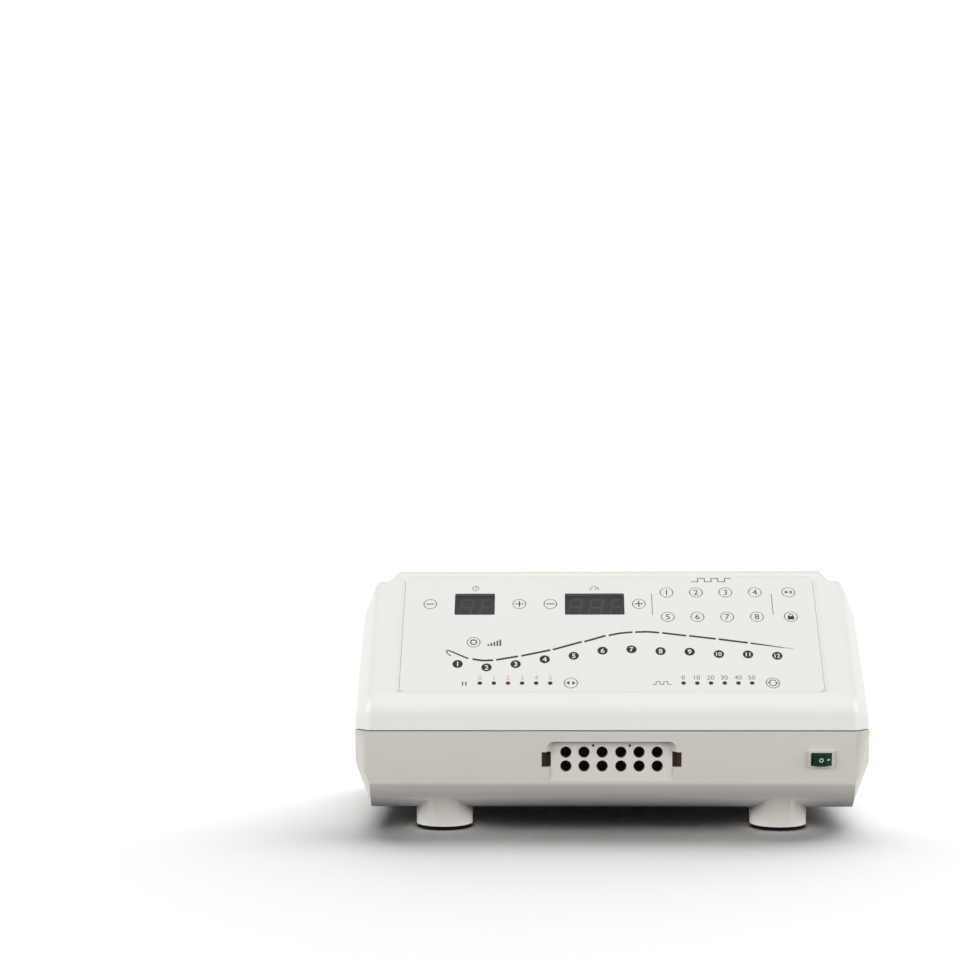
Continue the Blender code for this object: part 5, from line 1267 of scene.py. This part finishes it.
# %% Switch and rocker
BEZEL_PROUD, PIVOT_DEPTH, RIDGE_REACH, RIDGE_PROUD, END_PROUD = mm(1.6, 4.0, 3.3, 2.8, 0.6)
ROCKER_HALF, ROCKER_BACK_HALF, ROCKER_BACK, ROCKER_SIDE = mm(8.0, 6, -3.5, 5.5)
TAIL_TOP, TAIL_BOTTOM, SLOT_TOP, SLOT_BOTTOM = mm(1.0, -20, 6, -11)
ROCKER_REST = math.radians(8.0)
bezel, tail_outline, slot_outline = (
    rectangle(*mm(*size)) for size in ((21.2, 15.0, 1.4), (19.4, 13.2), (17.6, 11.6, 0.6))
)
housing = plate("switch_housing", [bezel], BEZEL_PROUD, GAP, SWITCH_FRAME)
tail = plate("switch_tail", [tail_outline], TAIL_TOP, TAIL_BOTTOM, SWITCH_FRAME)
combined(housing, [tail], "UNION")
rocker_slot = plate("rocker_slot", [slot_outline], SLOT_TOP, SLOT_BOTTOM, SWITCH_FRAME)
combined(housing, [rocker_slot], "DIFFERENCE")
softened(housing, 0.5 * MM, segments=3)
dress(housing, "switch_beige", ["power_switch_body"])
rocker_frame = (
    SWITCH_FRAME
    @ Matrix.Translation((0, 0, BEZEL_PROUD - PIVOT_DEPTH))
    @ Matrix.Rotation(ROCKER_REST, 4, "Y")
)
ridge, end = PIVOT_DEPTH + RIDGE_PROUD, PIVOT_DEPTH + END_PROUD
rocker_outline = [
    (-ROCKER_BACK_HALF, ROCKER_BACK),
    (ROCKER_BACK_HALF, ROCKER_BACK),
    (ROCKER_HALF, end),
    (RIDGE_REACH, ridge),
    (-RIDGE_REACH, ridge),
    (-ROCKER_HALF, end),
]
standing = rocker_frame @ Matrix.Rotation(RIGHT_ANGLE, 4, "X")
rocker = plate("rocker", [rocker_outline], ROCKER_SIDE, -ROCKER_SIDE, standing)
softened(rocker, 0.3 * MM, segments=3, angle=20)
dress(rocker, "rocker_green", ["power_rocker"], "power_rocker")
off_mark = [circle(radius, mm(-1.35, 0), 32) for radius in mm(1.9, 1.2)]
printed("off_mark", off_mark, "ink_white", rocker_frame, ridge, "power_rocker")
facet = rocker_frame @ Matrix.Translation(((ROCKER_HALF + RIDGE_REACH) / 2, 0, (ridge + end) / 2))
facet = facet @ Matrix.Rotation(math.atan2(ridge - end, ROCKER_HALF - RIDGE_REACH), 4, "Y")
on_mark = rectangle(*mm(2.8, 0.8, 0), mm(-0.6, 0))
printed("on_mark", [on_mark], "ink_white", facet, 0, "power_rocker")
print("switch made")

# %% [markdown]
# ## Feet and mains inlet
# Soft pads sit in the pods under the unit. The inlet at the back is the common three-pin kind,
# with a recess for the plug and a small drawer for its fuse.

# %% Feet
PAD_RADIUS, PAD_EDGE, PAD_TOP = mm(23.25, 0.6, 3.0)
pad_profile = [(0, PAD_TOP), (PAD_RADIUS, PAD_TOP)]
for turn in (RIGHT_ANGLE * step / 4 for step in range(5)):
    radius = PAD_RADIUS - PAD_EDGE + PAD_EDGE * math.cos(turn)
    pad_profile.append((radius, PAD_EDGE - PAD_EDGE * math.sin(turn)))
pad_profile.append((0, 0))
for name, (across, depth) in FOOT_PLACES.items():
    pad = turned(f"{name}_pad", pad_profile, 64, Matrix.Translation(at(across, depth, 0)))
    dress(pad, "rubber_black", [name])
print("feet:", len(FOOT_PLACES))

# %% Mains inlet
PIN_PLACES = {"live": (7.0, 4.0), "neutral": (-7.0, 4.0), "earth": (0.0, 8.0)}
PLUG_CORNERS = (
    (-12.2, -2.25), (12.2, -2.25), (12.2, 9.75), (7.7, 14.25), (-7.7, 14.25), (-12.2, 9.75),
)
PLUG_RADII = (1.0, 1.0, 0.9, 0.9, 0.9, 0.9)


def inlet_plate(name, outline, top, bottom):
    """A flat piece of the inlet, between two heights in millimetres."""
    return plate(name, [outline], *mm(top, bottom), INLET_FRAME)


inlet = inlet_plate("inlet_body", rectangle(*mm(28, 34, 2)), 1.4, -26)
inlet_rim = inlet_plate("inlet_rim", rectangle(*mm(34, 40, 5)), 2.5, GAP / MM)
combined(inlet, [inlet_rim], "UNION")
plug_outline = rounded_loop([mm(*corner) for corner in PLUG_CORNERS], mm(*PLUG_RADII), 5)
inlet_cuts = [
    inlet_plate("plug_recess", plug_outline, 6.2, -18),
    inlet_plate("fuse_slot", rectangle(*mm(20.6, 8.6, 0), mm(0, -9.8)), 6.2, -22.3),
]
for name, place in PIN_PLACES.items():
    pin_slot = rectangle(*mm(2.6, 4.6, 0), mm(*place))
    inlet_cuts.append(inlet_plate(f"{name}_slot", pin_slot, -14, -30))
combined(inlet, inlet_cuts, "DIFFERENCE")
softened(inlet, 0.4 * MM)
dress(inlet, "inlet_black", ["mains_inlet"])
print("inlet made")

# %% [markdown]
# ## Everything inside
# The solids inside keep their own shapes, so they only get their finishes: enamelled copper on
# the coils, cast metal on the compressor, laminated steel in the core and green boards.

# %% Finishes for the solids that stay
KEPT_SOLIDS = {
    "digit_black": ["time_digits", "pressure_digits"],
    "board_green": ["display_board", "main_board"],
    "steel": ["compressor_armature", "distributor_motor"],
    "brass": [f"inlet_pin_{name}" for name in PIN_PLACES],
    "inlet_black": ["fuse_drawer"],
    "core_steel": ["transformer_core"],
    "copper": ["transformer_winding", "compressor_coil"],
    "cast_metal": ["compressor_body", "compressor_lid"],
    "rubber_black": ["compressor_rail_front", "compressor_rail_rear"],
    "felt": ["intake_filter"],
    "rotor_cream": ["distributor_rotor", "distributor_body"],
    "tube_clear": ["upper_tubes", "lower_tubes"],
    "hose_black": ["supply_hose"],
}
KEPT_SOLIDS["steel"] += [name.replace("foot", "casing_screw") for name in FOOT_PLACES]
dressed = 0
for look, names in KEPT_SOLIDS.items():
    for name in names:
        for material_slot in frame["nodes"][name].material_slots:
            material_slot.material = MATERIALS[look]
            dressed += 1
print("finishes given:", dressed)
